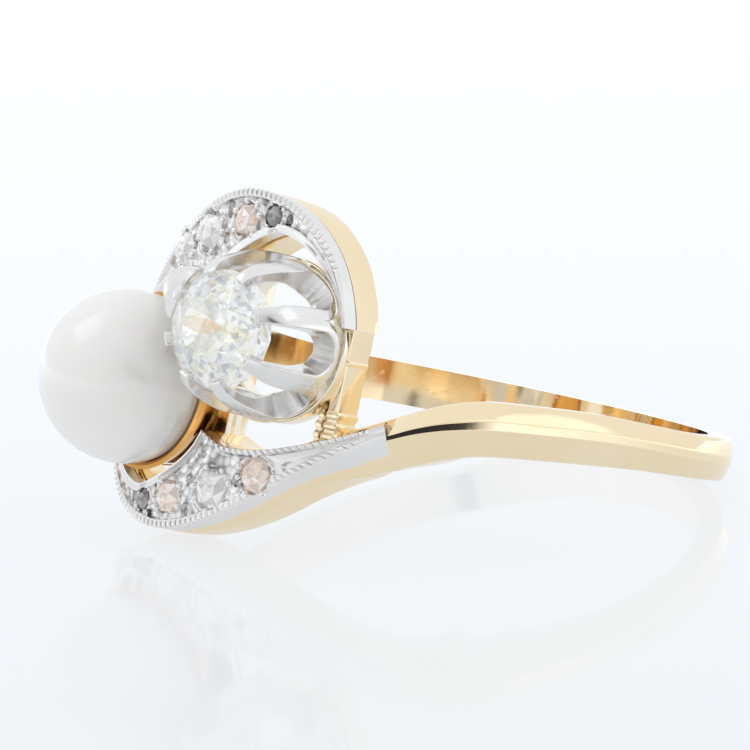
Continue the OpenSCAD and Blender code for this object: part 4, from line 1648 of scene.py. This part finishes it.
@dataclass(frozen=True)
class Studio:
    """A pale glossy floor, a bright tent all round, two soft lights and the camera.

    Attributes:
        azimuth: Degrees round the ring to the camera.
        elevation: Degrees up to the camera.
        lens: The camera's lens on a 36 mm sensor.
        distance: Millimetres from the aim to the camera.
        aim_right: Millimetres that the aim lies to the right of the finger hole's middle.
        aim_up: Millimetres that it lies above it.
        floor_half: Half of the floor's side in metres.
    """

    azimuth: float = 52.0008
    elevation: float = 11.4541
    lens: float = 328.88
    distance: float = 248.3146
    aim_right: float = -3.5929
    aim_up: float = 1.124
    floor_half: float = 3.0

    def ways(self, turn: float = 0.0, rise: float = 0.0) -> Array:
        """Right, up and back of a view, some degrees round from the camera's side and above the floor.

        Args:
            turn: Degrees to the right of the camera's side.
            rise: Degrees above the floor.

        Returns:
            The three directions as rows.
        """
        az, el = math.radians(self.azimuth + turn), math.radians(rise)
        right = np.array([math.cos(az), math.sin(az), 0.0])
        back = np.array([math.sin(az) * math.cos(el), -math.cos(az) * math.cos(el), math.sin(el)])
        return np.array([right, np.cross(back, right), back])

    @staticmethod
    def stand(thing: bpy.types.Object, ways: Array, place: Array) -> None:
        """Puts a camera or a light at a place in metres, looking along the view's ways.

        Args:
            thing: The camera's or the light's object.
            ways: Right, up and back, as rows.
            place: Where it stands.
        """
        bpy.context.scene.collection.objects.link(thing)
        matrix = np.eye(4)
        matrix[:3, :3], matrix[:3, 3] = ways.T, place
        thing.matrix_world = Matrix(matrix.tolist())

    def camera(self) -> None:
        """Sets the camera at the photograph's angle; its aim is given across and up from the finger hole."""
        ways = self.ways(rise=self.elevation)
        place = np.array(PLACE.shift) + np.array([self.aim_right, self.aim_up, self.distance]) @ ways
        data = bpy.data.cameras.new("camera")
        data.lens, data.sensor_width = self.lens, 36.0
        data.clip_start, data.clip_end = 0.01, 20.0
        camera = bpy.data.objects.new("camera", data)
        self.stand(camera, ways, place * 0.001)
        bpy.context.scene.camera = camera

    def floor(self) -> None:
        """A large pale glossy sheet that is lit from below, so that the ring throws almost no shadow."""
        mesh = bpy.data.meshes.new("floor")
        e = self.floor_half
        mesh.from_pydata([(-e, -e, 0.0), (e, -e, 0.0), (e, e, 0.0), (-e, e, 0.0)], [], [(0, 1, 2, 3)])
        made, kit, shader = new_material("white_acrylic", Base_Color=(0.13, 0.13, 0.13, 1.0), IOR=1.12,
                                         Emission_Color=(0.925, 0.96, 1.0, 1.0), Emission_Strength=0.725)
        rough = kit.ranged(kit.noise(kit.place(), 30.0, 3.0), 0.0, 1.0, 0.05, 0.08)
        kit.link(rough, shader.inputs["Roughness"])
        mesh.materials.append(made)
        floor = bpy.data.objects.new("floor", mesh)
        bpy.context.scene.collection.objects.link(floor)

    def tent(self) -> None:
        """The world: nearly white all round, dimmer at the camera's side, with a black card right of it.

        The card is a window in dot products: how far a direction points to the camera's right, and how
        far along a line that leans 55 degrees from it.
        """
        world = bpy.data.worlds.new("tent")
        bpy.context.scene.world = world
        world.use_nodes = True
        kit = NodeKit(world.node_tree)
        place = kit.place("Generated")
        right, _, back = self.ways().tolist()

        def along(way: list[float]) -> Socket:
            """How far the direction points along a way.

            Args:
                way: The direction to measure along.

            Returns:
                The dot product of the two.
            """
            node = kit.add("ShaderNodeVectorMath", place, operation="DOT_PRODUCT")
            node.inputs[1].default_value = way
            return node.outputs["Value"]

        toward = along([0.98 * back[0], 0.98 * back[1], 0.2])
        beside, leaning = along(right), along([0.7 * right[0], 0.7 * right[1], 1.0])
        greys = [(at, (level, level, 1.02 * level)) for at, level in ((0.80, 0.84), (0.93, 0.70))]
        tone = kit.ramp(toward, [(0.50, (0.92, 0.945, 0.975)), *greys, (1.0, (0.60, 0.60, 0.61))])
        card = kit.ranged(toward, 0.5, 0.55)
        for value, start, stop in ((beside, 0.70, 0.69), (beside, -0.05, 0.0),
                                   (leaning, 0.31, 0.34), (leaning, 0.60, 0.57)):
            card = kit.math("MULTIPLY", card, kit.ranged(value, start, stop))
        shade = world.node_tree.nodes["Background"]
        kit.link(kit.blend(card, tone, (0.03, 0.03, 0.035)), shade.inputs["Color"])
        shade.inputs["Strength"].default_value = 1.0
        bpy.context.scene.view_settings.view_transform = "Standard"

    def light(self, name: str, turn: float, rise: float, far: float, size: float, watts: float) -> None:
        """Adds a soft square light that faces the ring.

        Args:
            name: Its name.
            turn: Degrees round the ring from the camera's side, positive to the right.
            rise: Degrees above the floor.
            far: Distance in metres.
            size: Side in metres.
            watts: Power.
        """
        ways = self.ways(turn, rise)
        data = bpy.data.lights.new(name, "AREA")
        data.size, data.energy = size, watts
        self.stand(bpy.data.objects.new(name, data), ways, ways[2] * far)

    def build(self) -> None:
        """Sets the whole studio."""
        self.camera()
        self.floor()
        self.tent()
        self.light("key", turn=-100.0, rise=51.0, far=0.6, size=0.3, watts=0.2)
        self.light("fill", turn=70.0, rise=35.0, far=0.7, size=0.4, watts=0.15)
        LOG.info("studio set")


def main() -> None:
    """Builds the ring's looks and the studio."""
    logging.basicConfig(level=logging.INFO, format="%(message)s")
    finishes = make_finishes()
    Shank().build(finishes[Finish.GOLD], finishes[Finish.GOLD_PAINTED_LIGHT], finishes[Finish.GOLD_PAINTED_SHADE])
    Plate().build(finishes[Finish.ENGRAVED])
    ClawSetting().build(finishes[Finish.PLATINUM])
    Pearl().build(finishes[Finish.PEARL])
    OldCut().build(finishes[Finish.DIAMOND])
    RoseCuts().build(finishes)
    Studio().build()


if __name__ == "__main__":
    main()
